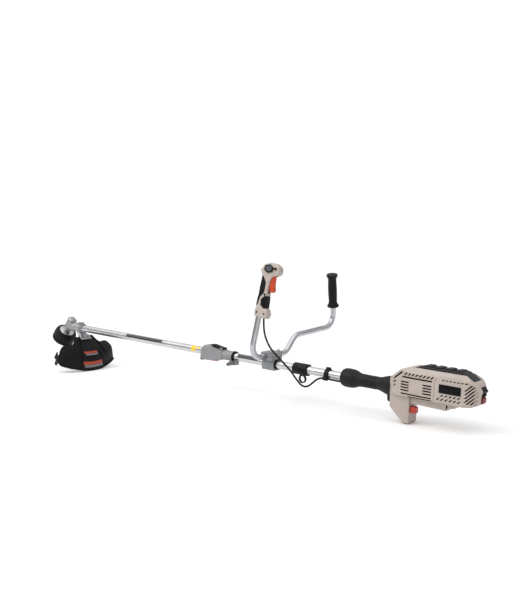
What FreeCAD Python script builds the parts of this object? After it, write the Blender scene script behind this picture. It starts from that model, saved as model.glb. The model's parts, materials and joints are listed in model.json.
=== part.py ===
import FreeCAD, Part
import math
import os

# Cordless string trimmer with a split shaft and bull-horn handlebars.
#
# The parts are drawn in the tool's own frame, in millimetres: X runs along the shaft axis from the
# front end of the lower tube (0) back to the powerhead, +Y is the side of the plain rubber grip,
# -Y the side of the throttle grip, and +Z is up.  floor_placement() then tilts the whole tool so that
# the foot of the powerhead and the rim of the guard both stand on Z = 0.

V = FreeCAD.Vector
X = V(1, 0, 0)
Y = V(0, 1, 0)
Z = V(0, 0, 1)

# ---- driving dimensions -----------------------------------------------------------------------
TUBE_R = 13.0
TUBE_BORE_R = 11.4
BORE_FIT = 0.06
SHAFT_R = 4.0
SHAFT_FIT = 0.05
GAP = 0.3

LOWER_TUBE_FRONT = -22.0
LOWER_TUBE_REAR = 731.0
UPPER_TUBE_FRONT = 741.0
UPPER_TUBE_REAR = 1436.0

HEAD_X = -88.0
HEAD_TILT = 36.0

COUPLER_REAR = 812.0
LEVER_PIVOT = V(760, 0, 19.5)
KNOB_X = 812.0
KNOB_Z = -21.0

BAR_X = 965.0
BAR_Z = 25.0
BAR_R = 9.5
BAR_BORE_R = 7.7
NEAR_CORNER_Y = -99.0
NEAR_LEAN = V(0.09, 0.155, 1.0)
FAR_CORNERS = [V(BAR_X, 80, BAR_Z), V(BAR_X, 129, 79), V(BAR_X, 352, 92)]
FAR_LEAN = V(0.09, -0.26, 1.0)
FAR_GRIP_START = 71.0
FAR_GRIP_LENGTH = 116.0
FAR_BAR_END = 182.5
CLAMP_FRONT = 947.0
CLAMP_REAR = 993.0

HANDLE_Z = 157.0
HANDLE_HALF = 12.8
HANDLE_WALL = 2.6
TRIGGER_PIVOT = V(27, 0, 141)
LOCKOUT_PIVOT = V(-3.5, 0, 69)

HANGER_FRONT = 1068.0
HANGER_REAR = 1120.0
EYE_CENTRE = V(1098, 0, -30.5)
EYE_R = 9.6
EYE_WIDTH = 7.0
CLIP_FRONT = 1188.0
CLIP_REAR = 1202.0

WALL = 3.0
MOTOR_FRONT = 1446.0
MOTOR_REAR = 1482.0
BATTERY_FRONT = 1506.0
BATTERY_REAR = 1654.0
BATTERY_HALF = 24.0
LATCH_PIVOT = V(1664, 0, 24)
RELEASE_Z = 6.0
FOOT_FRONT = 1471.0
FOOT_REAR = 1487.0
FOOT_HALF = 24.0
POWER_BUTTON_Y = -8.0
POWER_BUTTON_Z = -54.0

HOUSING_SCREWS = [(1494, 54), (1494, -6), (1676, -4), (1677, 38)]
GRIP_SCREWS = [(28, 14), (15.5, 73.5)]

CABLE_R = 3.0
CABLE_ROUTE = [
    V(998, -79.2, 158), V(998, -79, 126), V(1005, -76, 94), V(1021, -70, 62), V(1053, -60, 32),
    V(1084, -48, 2), V(1104, -39, -27), V(1122, -33, -46), V(1141, -28.5, -44), V(1155, -24, -30),
    V(1168, -19, -17), V(1183, -16, -12), V(1212, -14.5, -12.5), V(1240, -12.5, -13.5),
    V(1264, -12.2, -13.2),
]

PINION_TEETH = 10
GEAR_TEETH = 14
CONE_OUTER = 26.0
CONE_INNER = 18.5

GUARD_HALF_ANGLE = 43.5
RAMP_HALF_ANGLE = 14.0
GUARD_RIM = (222.0, -36.0)
TILT = 2.55


# ---- helpers ----------------------------------------------------------------------------------
def cylinder(start, direction, radius, length):
    return Part.makeCylinder(radius, length, start, direction)


def ring(start, direction, outer, inner, length):
    return cylinder(start, direction, outer, length).cut(cylinder(start, direction, inner, length))


def block(x0, x1, y0, y1, z0, z1):
    return Part.makeBox(x1 - x0, y1 - y0, z1 - z0, V(x0, y0, z0))


def fuse(*shapes):
    whole = shapes[0]
    for shape in shapes[1:]:
        whole = whole.fuse(shape)
    return whole.removeSplitter()


def cut(shape, *tools):
    for tool in tools:
        shape = shape.cut(tool)
    return shape


def polygon_face(points):
    return Part.Face(Part.makePolygon(points + [points[0]]))


def side_prism(outline, y0, y1):
    """An outline of (x, z) points, run along Y."""
    return polygon_face([V(x, y0, z) for x, z in outline]).extrude(V(0, y1 - y0, 0))


def plan_prism(outline, z0, z1):
    """An outline of (x, y) points, run along Z."""
    return polygon_face([V(x, y, z0) for x, y in outline]).extrude(V(0, 0, z1 - z0))


def section_prism(outline, x0, x1):
    """An outline of (y, z) points, run along X."""
    return polygon_face([V(x0, y, z) for y, z in outline]).extrude(V(x1 - x0, 0, 0))


def turned(profile, start=0.0, sweep=360.0):
    """A profile of (radius, z) points turned about Z, from the start angle through the sweep."""
    face = polygon_face([V(radius, 0, z) for radius, z in profile])
    face.rotate(V(0, 0, 0), Z, start)
    return face.revolve(V(0, 0, 0), Z, sweep)


def turned_on_x(profile):
    """A profile of (x, radius) points turned about the shaft axis."""
    return polygon_face([V(x, 0, radius) for x, radius in profile]).revolve(V(0, 0, 0), X, 360)


def mirrored(outline):
    """An outline of (along, across) points with across > 0, closed by its mirror image."""
    return outline + [(along, -across) for along, across in reversed(outline)]


def rounded(shape, radius, wanted):
    """Rounds the edges that wanted(edge) picks, one by one where the kernel can't do them at once."""
    edges = [edge for edge in shape.Edges if wanted(edge)]
    try:
        result = shape.makeFillet(radius, edges)
        if result.isValid() and result.Volume > 0:
            return result
    except Part.OCCError:
        pass
    return shape


def along(axis):
    """Picks straight edges parallel to an axis."""
    def test(edge):
        if len(edge.Vertexes) != 2:
            return False
        run = edge.Vertexes[1].Point - edge.Vertexes[0].Point
        return run.Length > 1 and abs(run.normalize().dot(axis)) > 0.999
    return test


def placed(shape, placement):
    moved = shape.copy()
    moved.Placement = placement.multiply(moved.Placement)
    return moved


def frame_at(origin, up, forward):
    """A placement whose local Z is up and whose local X is forward, squared to it."""
    up = V(up).normalize()
    across = up.cross(forward).normalize()
    ahead = across.cross(up)
    turn = FreeCAD.Rotation(ahead, across, up, "ZXY")
    return FreeCAD.Placement(origin, turn)


def path_wire(points, radius_at):
    """Straight runs joined by tangent arcs."""
    edges = []
    start = points[0]
    for index in range(1, len(points) - 1):
        corner = points[index]
        before = (points[index - 1] - corner).normalize()
        after = (points[index + 1] - corner).normalize()
        turn = math.pi - before.getAngle(after)
        radius = radius_at(index, turn)
        reach = radius * math.tan(turn / 2)
        first = corner + before * reach
        last = corner + after * reach
        inward = (before + after).normalize()
        middle = corner + inward * (radius / math.cos(turn / 2) - radius)
        edges.append(Part.LineSegment(start, first).toShape())
        edges.append(Part.Arc(first, middle, last).toShape())
        start = last
    edges.append(Part.LineSegment(start, points[-1]).toShape())
    return Part.Wire(edges)


def rod_along(wire, radius):
    first = wire.Edges[0]
    start = first.Vertexes[0].Point
    direction = first.tangentAt(first.FirstParameter)
    profile = Part.Wire(Part.makeCircle(radius, start, direction))
    return wire.makePipeShell([profile], True, False)


def socket_screw(head, direction, head_r, head_length, shank_r, shank_length):
    """A screw whose head starts at a point and whose shank runs on in the direction."""
    direction = V(direction).normalize()
    body = cylinder(head, direction, head_r, head_length)
    shank = cylinder(head + direction * head_length, direction, shank_r, shank_length)
    recess = cylinder(head, direction, head_r * 0.5, head_length * 0.6)
    return fuse(body, shank).cut(recess)


HEAD = FreeCAD.Placement(V(HEAD_X, 0, 0), FreeCAD.Rotation(Y, HEAD_TILT))
HANDLE_FOOT = V(BAR_X, NEAR_CORNER_Y, BAR_Z) + NEAR_LEAN * (HANDLE_Z - BAR_Z)
HANDLE = frame_at(HANDLE_FOOT, NEAR_LEAN, X)


def on_head(shape):
    """Local Z runs up the head's spin axis, with its origin where that axis meets the shaft axis."""
    return placed(shape, HEAD)


def on_handle(shape):
    """Local Z runs up the throttle grip, local X points at the trigger side."""
    return placed(shape, HANDLE)


# ---- shaft, bushes and bevel gears ------------------------------------------------------------
def make_lower_tube():
    return ring(V(LOWER_TUBE_FRONT, 0, 0), X, TUBE_R, TUBE_BORE_R, LOWER_TUBE_REAR - LOWER_TUBE_FRONT)


def make_upper_tube():
    return ring(V(UPPER_TUBE_FRONT, 0, 0), X, TUBE_R, TUBE_BORE_R, UPPER_TUBE_REAR - UPPER_TUBE_FRONT)


def bush(x):
    return ring(V(x, 0, 0), X, TUBE_BORE_R, SHAFT_R + SHAFT_FIT, 18)


def make_lower_shaft_bushes():
    return Part.makeCompound([bush(x) for x in (60, 250, 440, 630)])


def make_upper_shaft_bushes():
    return Part.makeCompound([bush(x) for x in (790, 1000, 1210, 1400)])


def make_lower_drive_shaft():
    """Runs from the bevel pinion to a square end that plugs into the upper shaft's socket."""
    shaft = cylinder(V(-50, 0, 0), X, SHAFT_R, 750)
    square = block(699, 728, -3, 3, -3, 3)
    return fuse(shaft, square)


def make_upper_drive_shaft():
    socket = cylinder(V(711, 0, 0), X, 8, 25)
    cone = Part.makeCone(8, SHAFT_R, 6, V(736, 0, 0), X)
    shaft = cylinder(V(741, 0, 0), X, SHAFT_R, 700)
    half = 3 + GAP
    return cut(fuse(socket, cone, shaft), block(710, 733, -half, half, -half, half))


def gear_outline(teeth, root_r, tip_r, height, fill, phase):
    """One closed outline of a bevel gear's teeth, at one height on its axis."""
    pitch = 2 * math.pi / teeth
    points = []
    for tooth in range(teeth):
        centre = phase + tooth * pitch
        for radius, share in ((root_r, -fill), (tip_r, -0.45 * fill), (tip_r, 0.45 * fill), (root_r, fill)):
            angle = centre + share * pitch / 2
            points.append(V(radius * math.cos(angle), radius * math.sin(angle), height))
    return Part.makePolygon(points + [points[0]])


def bevel_wheel(teeth, other_teeth, bore_r, phase, fill):
    """Teeth that shrink towards the apex at the origin; local Z runs from the apex to the wheel."""
    shaft_angle = math.radians(90 - HEAD_TILT)
    cone = math.atan(math.sin(shaft_angle) / (other_teeth / teeth + math.cos(shaft_angle)))
    wires = []
    for distance in (CONE_INNER, CONE_OUTER):
        pitch_r = distance * math.sin(cone)
        module = 2 * pitch_r / teeth
        wires.append(gear_outline(teeth, pitch_r - module, pitch_r + 0.6 * module,
                                  distance * math.cos(cone), fill, phase))
    teeth_body = Part.makeLoft(wires, True, True)
    top = CONE_OUTER * math.cos(cone)
    hub_r = CONE_OUTER * math.sin(cone) * 0.75
    hub = cylinder(V(0, 0, top - 1), Z, hub_r, 5)
    bore = cylinder(V(0, 0, 0), Z, bore_r, top + 10)
    return fuse(teeth_body, hub).cut(bore)


def make_bevel_pinion():
    wheel = bevel_wheel(PINION_TEETH, GEAR_TEETH, SHAFT_R, 0.0, 0.52)
    turn = FreeCAD.Rotation(V(0, 0, -1), Y, X, "ZXY")
    return placed(wheel, FreeCAD.Placement(V(HEAD_X, 0, 0), turn))


def make_bevel_gear():
    return on_head(bevel_wheel(GEAR_TEETH, PINION_TEETH, 5.0, math.pi / GEAR_TEETH, 0.52))


# ---- gear case --------------------------------------------------------------------------------
CAP_Z = 29.5
CASE_R = 18.0
GEAR_ROOM_R = 15.6


def make_gear_case():
    """Cast case: a barrel on the spin axis and an arm that clamps the lower tube."""
    barrel = on_head(turned([(0, -22), (13.6, -22), (14.6, -12), (CASE_R, -1), (CASE_R, CAP_Z), (0, CAP_Z)]))
    arm = turned_on_x([(HEAD_X, 0), (HEAD_X, 16.8), (-62, 18), (-40, 17), (4, 17), (4, 0)])
    lugs = rounded(block(-24, -2, -8, 8, 12, 23), 3, along(X))
    case = fuse(barrel, arm, lugs)
    gear_room = on_head(turned([(0, -7), (11, -7), (11, -4), (GEAR_ROOM_R, 7), (GEAR_ROOM_R, 51),
                              (0, 51)]))
    pinion_room = cylinder(V(HEAD_X, 0, 0), X, 13, 30)
    pinion_seat = cylinder(V(-62, 0, 0), X, 9.5, 24)
    shaft_way = cylinder(V(-45, 0, 0), X, 6, 30)
    tube_socket = cylinder(V(LOWER_TUBE_FRONT, 0, 0), X, TUBE_R + BORE_FIT, 40)
    lower_seat = on_head(cylinder(V(0, 0, -18), Z, 11, 12))
    output_way = on_head(cylinder(V(0, 0, -30), Z, 7, 20))
    slit = block(-26, 5, -1.2, 1.2, 8, 30)
    bolt_ways = [cylinder(V(x, -20, 18.5), Y, 2.6, 40) for x in (-18, -8)]
    cap_room = on_head(cylinder(V(0, 0, CAP_Z), Z, CASE_R, 20))
    return cut(case, cap_room, gear_room, pinion_room, pinion_seat, shaft_way, tube_socket, lower_seat,
               output_way, slit, *bolt_ways)


def make_gear_case_cap():
    """Domed cover over the bevel gear, with the seat of the upper bearing."""
    dome = turned([(0, CAP_Z), (CASE_R, CAP_Z), (17.4, 32.5), (15.2, 37), (11, 40), (0, 41)])
    seat = cylinder(V(0, 0, CAP_Z - 1), Z, 8, 6.5)
    return on_head(cut(dome, seat))


def make_gear_bearings():
    pinion = [ring(V(x, 0, 0), X, 9.5, SHAFT_R + SHAFT_FIT, 6) for x in (-59.5, -46)]
    upper = on_head(ring(V(0, 0, CAP_Z + 0.3), Z, 8, 5 + SHAFT_FIT, 5))
    lower = on_head(ring(V(0, 0, -17.5), Z, 11, 5 + SHAFT_FIT, 7))
    return Part.makeCompound(pinion + [upper, lower])


def make_output_shaft():
    """Carries the bevel gear, the drive flange and the threaded hub of the cutting head."""
    shaft = cylinder(V(0, 0, -46), Z, 5, 81)
    return on_head(shaft)


def make_flange_washer():
    """Bright dished flange that drives the drum."""
    plate = turned([(5, -23), (13, -23), (29, -25.5), (29, -27.5), (5, -27.5)])
    return on_head(plate)


# ---- cutting head -----------------------------------------------------------------------------
DRUM_TOP = -28.0
SPRING_R = 10.2


def make_drum():
    """Round line housing with a ribbed wall, a stepped top and a wider lower rim."""
    outer = [(5, DRUM_TOP), (38, DRUM_TOP), (41, -31)]
    for rib in range(3):
        base = -34.5 - rib * 9
        outer += [(41, base), (42.5, base - 1), (42.5, base - 6), (41, base - 7)]
    outer += [(41, -64), (44, -65.5), (44, -72), (42, -74)]
    inner = [(27, -74), (27, -71.5), (38.5, -71.5), (38.5, -33), (12, -33), (12, -44), (5, -44)]
    drum = turned(outer + inner)
    directions = [V(math.cos(angle), math.sin(angle), 0) for angle in (0.6, 0.6 + math.pi)]
    eyelet_ways = [cylinder(V(0, 0, -56), direction, 4, 60) for direction in directions]
    return on_head(cut(drum, *eyelet_ways))


def make_line_eyelets():
    """Metal sleeves that the line leaves the drum through."""
    sleeves = []
    for angle in (0.6, 0.6 + math.pi):
        out = V(math.cos(angle), math.sin(angle), 0)
        sleeve = ring(V(0, 0, -56) + out * 38.8, out, 4, 2, 6.2)
        lip = ring(V(0, 0, -56) + out * 43, out, 5.5, 2, 2)
        sleeves.append(fuse(sleeve, lip))
    return on_head(Part.makeCompound(sleeves))


def make_spool():
    profile = [(7, -59), (12.8, -59), (12.8, -38), (36, -38), (36, -40), (18, -40), (18, -68),
               (36, -68), (36, -70), (7, -70)]
    return on_head(turned(profile))


def make_line_coil():
    return on_head(turned([(18, -40.5), (32, -40.5), (32, -67.5), (18, -67.5)]))


def make_spool_spring():
    """Coil spring in the spool's well, which pushes the spool down after a bump; six-sided wire."""
    base = V(0, 0, -53.8)
    helix = Part.makeHelix(2.9, 8.7, SPRING_R)
    helix.translate(base)
    corners = []
    for corner in range(7):
        angle = math.radians(60 * corner)
        corners.append(base + X * (SPRING_R + 0.7 * math.cos(angle)) + Z * 0.7 * math.sin(angle))
    wire = Part.makePolygon(corners)
    return on_head(Part.Wire(helix.Edges).makePipeShell([wire], True, True))


def make_bump_knob():
    """Rounded knob under the head that is bumped on the ground to feed the line."""
    outer = [(0, -88), (12, -87.5), (19, -85), (23, -80), (24, -75), (24, -70.3), (0, -70.3)]
    return on_head(turned(outer))


# ---- guard ------------------------------------------------------------------------------------
def guard_sheet(lift, thickness, half_angle):
    rim_r, rim_z = GUARD_RIM
    top = [(96, 27 + lift), (150, 17 + lift), (186, 0 + lift), (rim_r - 5 + lift, rim_z)]
    under = [(x - thickness * 0.7, z - thickness * (0.8 if z > rim_z else 0)) for x, z in reversed(top)]
    return turned(top + under, -half_angle, 2 * half_angle)


def make_guard():
    """Scoop-shaped guard behind the head, with a raised ramp down its middle."""
    sheet = guard_sheet(0, 3.5, GUARD_HALF_ANGLE)
    ramp = guard_sheet(5, 8.0, RAMP_HALF_ANGLE)
    side_walls = []
    for side in (-1, 1):
        wall = side_prism([(126, -5), (170, -36), (126, -36)], min(side * 132, side * 129),
                          max(side * 132, side * 129))
        side_walls.append(wall)
    half = [(86, 0.001), (86, 42), (110, 54), (121, 66), (116, 98), (119, 111), (129, 123), (144, 132),
            (205, 132), (240, 90), (240, 0.001)]
    trim = plan_prism(mirrored(half), -60, 60)
    guard = fuse(sheet, ramp).common(trim)
    guard = fuse(guard, *side_walls)
    holes = [cylinder(V(103, y, -10), Z, 2.6, 60) for y in (-14, 14)]
    holes.append(cylinder(V(150, -140, -30), Y, 2, 20))
    return on_head(cut(guard, *holes))


def make_guard_bracket():
    """Triangular bracket from the case's arm down to the guard, on a ring round the arm."""
    collar = ring(V(-22, 0, 0), X, 20.5, 17.0, 20)
    opening = block(-30, 10, -14, 14, 6, 30)
    top = Part.makePolygon([V(-22, -13, -14), V(-2, -13, -14), V(-2, 13, -14), V(-22, 13, -14),
                            V(-22, -13, -14)])
    corners = [V(90, -25, 32.2), V(115, -25, 32.2), V(115, 25, 32.2), V(90, 25, 32.2)]
    low = [HEAD.multVec(corner) for corner in corners]
    web = Part.makeLoft([top, Part.makePolygon(low + [low[0]])], True, True)
    arm_room = cylinder(V(-60, 0, 0), X, 17.0, 90)
    foot = on_head(block(90, 115, -25, 25, 31.4, 34))
    holes = [on_head(cylinder(V(103, y, 0), Z, 2.6, 80)) for y in (-14, 14)]
    head_ways = [on_head(cylinder(V(103, y, 34.3), Z, 5.0, 60)) for y in (-14, 14)]
    return cut(fuse(collar.cut(opening), web.cut(arm_room), foot), *holes, *head_ways)


def make_guard_screws():
    screws = []
    for y in (-14, 14):
        screws.append(socket_screw(V(103, y, 39), V(0, 0, -1), 4.5, 4.5, 2.5, 16))
    clamp = [socket_screw(V(x, -13, 18.5), Y, 3.5, 4.5, 2.5, 19) for x in (-18, -8)]
    return Part.makeCompound([on_head(screw) for screw in screws] + clamp)


def make_line_cutter():
    """Small steel blade on the near end of the guard that trims the line to length."""
    blade = side_prism([(140, -24), (160, -30), (158, -50), (150, -54), (143, -50)], -133.6, -132)
    hole = cylinder(V(150, -140, -30), Y, 2, 20)
    rivet = fuse(cylinder(V(150, -135, -30), Y, 4, 1.4), cylinder(V(150, -134, -30), Y, 2, 5))
    return on_head(fuse(cut(blade, hole), rivet))


# ---- shaft coupler ----------------------------------------------------------------------------
def make_coupler_body():
    """Cast sleeve: a square block in front with a raised top, a round sleeve behind, two lugs."""
    outline = [(672, -26), (672, 8), (684, 22), (690, 26), (708, 26), (713, 23), (768, 13.5), (772, 0),
               (768, -16), (728, -22), (700, -26)]
    front = rounded(side_prism(outline, -18.5, 18.5), 4, along(X))
    sleeve = cylinder(V(740, 0, 0), X, 17, COUPLER_REAR - 740)
    lugs = rounded(block(800, 824, -10, 10, -28, -8), 3, along(Y))
    bore = cylinder(V(660, 0, 0), X, TUBE_R + BORE_FIT, 180)
    pin_way = cylinder(V(722, 0, 5), Z, 4.4, 30)
    stud_way = cylinder(V(KNOB_X, -20, KNOB_Z), Y, 3.2, 40)
    slit = block(780, 830, -1, 1, -32, -5)
    body = cut(fuse(front, sleeve, lugs), bore, pin_way, stud_way, slit)
    pivot_ears = [block(754, 766, y0, y0 + 3, 10, 23.5) for y0 in (-12.5, 9.5)]
    pivot_hole = cylinder(LEVER_PIVOT - Y * 20, Y, 2 + SHAFT_FIT, 40)
    ears = [ear.cut(cylinder(V(740, 0, 0), X, 16, 40)) for ear in pivot_ears]
    return cut(fuse(body, *ears), pivot_hole)


def make_coupler_lock():
    """Lift lever on top of the coupler, hinged at its rear, with the lock pin under its nose."""
    outline = [(711, 28.5), (716, 30.5), (722, 30), (768, 22.5), (767, 20.5), (760, 18.5), (750, 19.5),
               (716, 25.5)]
    plate = side_prism(outline, -9, 9)
    pin = cylinder(V(722, 0, TUBE_R + 1.2), Z, 3.4, 14)
    pivot = cylinder(LEVER_PIVOT - Y * 12, Y, 2, 24)
    return fuse(plate, pin, pivot)


def make_coupler_knob():
    """Winged clamp knob and its stud, across the lugs under the sleeve."""
    stud = cylinder(V(KNOB_X, -14, KNOB_Z), Y, 3.2 - SHAFT_FIT, 26)
    hub = cylinder(V(KNOB_X, -26, KNOB_Z), Y, 7, 15.5)
    wings = [cylinder(V(KNOB_X + dx, -25.5, KNOB_Z + dz), Y, 5.5, 7.5) for dx, dz in ((-9, -4), (9, 4))]
    return fuse(hub, stud, *wings)


# ---- handlebar and its clamp ------------------------------------------------------------------
def bar_points():
    near_end = V(BAR_X, NEAR_CORNER_Y, BAR_Z) + NEAR_LEAN * 186
    far_end = FAR_CORNERS[2] + FAR_LEAN * FAR_BAR_END
    return [near_end, V(BAR_X, NEAR_CORNER_Y, BAR_Z)] + FAR_CORNERS + [far_end]


BAR_RADII = {1: 42, 2: 38, 3: 46, 4: 40}


def make_handlebar():
    wire = path_wire(bar_points(), lambda index, turn: BAR_RADII[index])
    return rod_along(wire, BAR_R).cut(rod_along(wire, BAR_BORE_R))


def far_grip_profile(inner):
    length = FAR_GRIP_LENGTH
    outer = [(20.5, 0), (20.5, 4), (17, 9), (14.5, 20), (15.6, length * 0.45), (14.2, length * 0.75),
             (15.4, length - 12), (19.5, length - 5), (19.5, length)]
    return [(inner, 0)] + outer + [(inner, length)]


def far_grip_frame():
    return frame_at(FAR_CORNERS[2] + FAR_LEAN * FAR_GRIP_START, FAR_LEAN, X)


def make_rubber_grip():
    grip = turned(far_grip_profile(BAR_R))
    end_cap = cylinder(V(0, 0, FAR_GRIP_LENGTH), Z, 19.5, 2.5)
    return placed(fuse(grip, end_cap), far_grip_frame())


def make_handle_clamp_lower():
    """Saddle block: it holds the tube below and carries the bar across its top."""
    hoop = rounded(block(CLAMP_FRONT, CLAMP_REAR, -20, 20, -20, 14), 8, along(X))
    saddle = rounded(block(CLAMP_FRONT, CLAMP_REAR, -29, 29, 13, BAR_Z - 0.4), 4, along(Z))
    bore = cylinder(V(CLAMP_FRONT - 5, 0, 0), X, 15, 80)
    bar_bed = cylinder(V(BAR_X, -40, BAR_Z), Y, BAR_R, 80)
    slit = block(CLAMP_FRONT - 1, CLAMP_REAR + 1, 12, 40, -1, 1)
    ways = [cylinder(V(983, y, 14.5), Z, 2.6, 20) for y in (-19, 19)]
    return cut(fuse(hoop, saddle), bore, bar_bed, slit, *ways)


def make_handle_clamp_cap():
    cap = rounded(block(CLAMP_FRONT, CLAMP_REAR, -29, 29, BAR_Z + 0.4, 38), 4, along(Z))
    lobes = [cylinder(V(983, y, 34), Z, 7, 6) for y in (-19, 19)]
    bar_bed = cylinder(V(BAR_X, -40, BAR_Z), Y, BAR_R, 80)
    ways = [cylinder(V(983, y, 0), Z, 2.6, 60) for y in (-19, 19)]
    return cut(fuse(cap, *lobes), bar_bed, *ways)


def make_handle_clamp_sleeve():
    """Rubber sleeve between the clamp and the tube, standing out at the rear."""
    sleeve = ring(V(CLAMP_FRONT, 0, 0), X, 15, TUBE_R, CLAMP_REAR - CLAMP_FRONT)
    return fuse(sleeve, ring(V(CLAMP_REAR, 0, 0), X, 16.2, TUBE_R, 6))


def make_clamp_screws():
    """The cap screws of the handlebar clamp and the hanger clamp."""
    screws = [socket_screw(V(983, y, 45), V(0, 0, -1), 4.6, 5, 2.5, 25) for y in (-19, 19)]
    screws += [socket_screw(V(x, 20, -21.5), Z, 4, 4, 2.4, 21) for x in (1081, 1107)]
    return Part.makeCompound(screws)


def make_hanger_clamp():
    """Harness hanger: a split band round the tube with an eye below it."""
    band = cylinder(V(HANGER_FRONT, 0, 0), X, 18.5, HANGER_REAR - HANGER_FRONT)
    lug = rounded(block(HANGER_FRONT + 3, HANGER_REAR - 3, 10, 26, -14, 6), 3, along(X))
    web = block(EYE_CENTRE.x - 10, EYE_CENTRE.x + 10, -EYE_WIDTH / 2, EYE_WIDTH / 2, EYE_CENTRE.z, -12)
    eye = cylinder(EYE_CENTRE - Y * EYE_WIDTH / 2, Y, EYE_R + 3.6, EYE_WIDTH)
    bore = cylinder(V(HANGER_FRONT - 1, 0, 0), X, TUBE_R, 60)
    slit = block(HANGER_FRONT - 1, HANGER_REAR + 1, 5, 40, -5.5, -2.5)
    ways = [cylinder(V(x, 20, -24), Z, 2.5, 40) for x in (1081, 1107)]
    eye_bore = cylinder(EYE_CENTRE - Y * 10, Y, EYE_R, 20)
    return cut(fuse(band, lug, web, eye), bore, slit, eye_bore, *ways)


def make_cable_clip():
    """Clip on the upper tube that holds the throttle lead in a small side loop."""
    band = cylinder(V(CLIP_FRONT, 0, 0), X, 16.4, CLIP_REAR - CLIP_FRONT)
    tab = rounded(block(CLIP_FRONT, CLIP_REAR, -4, 4, 12, 21), 2.5, along(X))
    start = V(CLIP_FRONT, -15.9, -12.1)
    loop = cylinder(start, X, 6.4, CLIP_REAR - CLIP_FRONT)
    lead_way = cylinder(start - X, X, CABLE_R + 1.0, 40)
    bore = cylinder(V(CLIP_FRONT - 1, 0, 0), X, TUBE_R, 40)
    return cut(fuse(band, tab, loop), bore, lead_way)


# ---- throttle grip ----------------------------------------------------------------------------
GRIP_OUTLINE = [
    (-13, 0), (-15, 20), (-12.6, 30), (-12.4, 60), (-10.8, 72), (-10.5, 100), (-11, 126), (-18, 139),
    (-19, 150), (-12, 165), (8, 174), (32, 174), (48, 167), (54, 154), (52, 142), (42, 136), (28, 131),
    (22.5, 116), (21.5, 84), (23, 62), (25, 34), (36, 27), (38, 6), (35, 0),
]


def grip_half(side):
    """One moulded half of the throttle grip, hollow, parted on the plane Y = 0."""
    face = polygon_face([V(x, 0, z) for x, z in GRIP_OUTLINE])
    outer = face.extrude(V(0, side * HANDLE_HALF, 0))
    outer = fuse(outer, Part.makeCone(20.5, 17, 4, V(19, side * HANDLE_HALF, 153), V(0, side, 0)))
    inner_face = face.makeOffset2D(-HANDLE_WALL)
    hollow = inner_face.extrude(V(0, side * (HANDLE_HALF - HANDLE_WALL), 0))
    shell = outer.cut(hollow)
    bar_way = cylinder(V(0, 0, -5), Z, BAR_R, 62)
    cable_way = cylinder(V(21.5, 0, -5), Z, CABLE_R + 2.2, 14)
    trigger_slot = block(14, 70, -6.4, 6.4, 78, 137)
    lockout_slot = block(-30, 2, -6.4, 6.4, 63, 130)
    pins = [cylinder(pivot - Y * 30, Y, 2 + SHAFT_FIT, 60) for pivot in (TRIGGER_PIVOT, LOCKOUT_PIVOT)]
    cruise_way = cylinder(V(-40, 0, 147), X, 4.8, 40)
    bar_boss = cylinder(V(0, 0, 0), Z, BAR_R + 2.2, 56)
    side_room = block(-40, 60, min(0, side * 30), max(0, side * 30), -10, 200)
    boss = bar_boss.common(side_room).common(outer)
    pivot_boss = cylinder(LOCKOUT_PIVOT + Y * side * 8.2, V(0, side, 0), 4.2, 5)
    trigger_boss = cylinder(TRIGGER_PIVOT + Y * side * 8.2, V(0, side, 0), 4.2, 5)
    screw_bosses = [cylinder(V(x, 0, z), V(0, side, 0), 3.6, HANDLE_HALF) for x, z in GRIP_SCREWS]
    shanks = [cylinder(V(x, -30, z), Y, 1.6, 60) for x, z in GRIP_SCREWS]
    heads = [cylinder(V(x, -30, z), Y, 3.3, 30 - HANDLE_HALF + 1.5) for x, z in GRIP_SCREWS]
    shell = fuse(shell, boss, pivot_boss.common(outer), trigger_boss.common(outer), *screw_bosses)
    return cut(shell, bar_way, cable_way, trigger_slot, lockout_slot, cruise_way, *pins, *shanks, *heads)


def near_face_recesses():
    """Openings of the near shell for the display unit and the mode button."""
    display = cylinder(V(17, -30, 154.5), Y, 11.2, 20)
    button = cylinder(V(39, -30, 157), Y, 3.4, 20)
    return [display, button]


def make_throttle_shell_near():
    return on_handle(cut(grip_half(-1), *near_face_recesses()))


def make_throttle_shell_far():
    return on_handle(grip_half(1))


def make_display_unit():
    """Hexagonal display on the near face of the grip's head."""
    points = []
    for corner in range(6):
        angle = math.radians(60 * corner + 20)
        points.append((17 + 17.5 * math.cos(angle), 154.5 + 14 * math.sin(angle)))
    bezel = side_prism(points, -20.2, -16.9)
    can = cylinder(V(17, -17, 154.5), Y, 11, 7)
    return on_handle(fuse(bezel, can))


def make_mode_button():
    stem = cylinder(V(39, -18.6, 157), Y, 3.4 - GAP, 8)
    return on_handle(stem)


def make_cruise_button():
    """Small button at the front of the grip's head."""
    stem = cylinder(V(-25.5, 0, 147), X, 4.8 - GAP, 13)
    return on_handle(stem)


def make_trigger():
    """Finger trigger hung on a pin at its top."""
    outline = [(21, 134), (20, 143), (26, 147), (32, 146), (35, 141), (35.5, 133), (36, 120), (38, 106),
               (42.5, 91), (40.5, 86.5), (27, 84), (20.5, 98)]
    blade = side_prism(outline, -6, 6)
    pin = cylinder(TRIGGER_PIVOT - Y * 11.5, Y, 2, 23)
    return on_handle(fuse(blade, pin))


def make_lockout_lever():
    """Palm lever along the front of the grip, hinged at its foot."""
    outline = [(-12.5, 66), (-15, 72), (-15, 118), (-12, 128), (-6, 128), (-5, 80), (0, 72), (-1, 65)]
    blade = side_prism(outline, -6, 6)
    pin = cylinder(LOCKOUT_PIVOT - Y * 11.5, Y, 2, 23)
    return on_handle(fuse(blade, pin))


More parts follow.
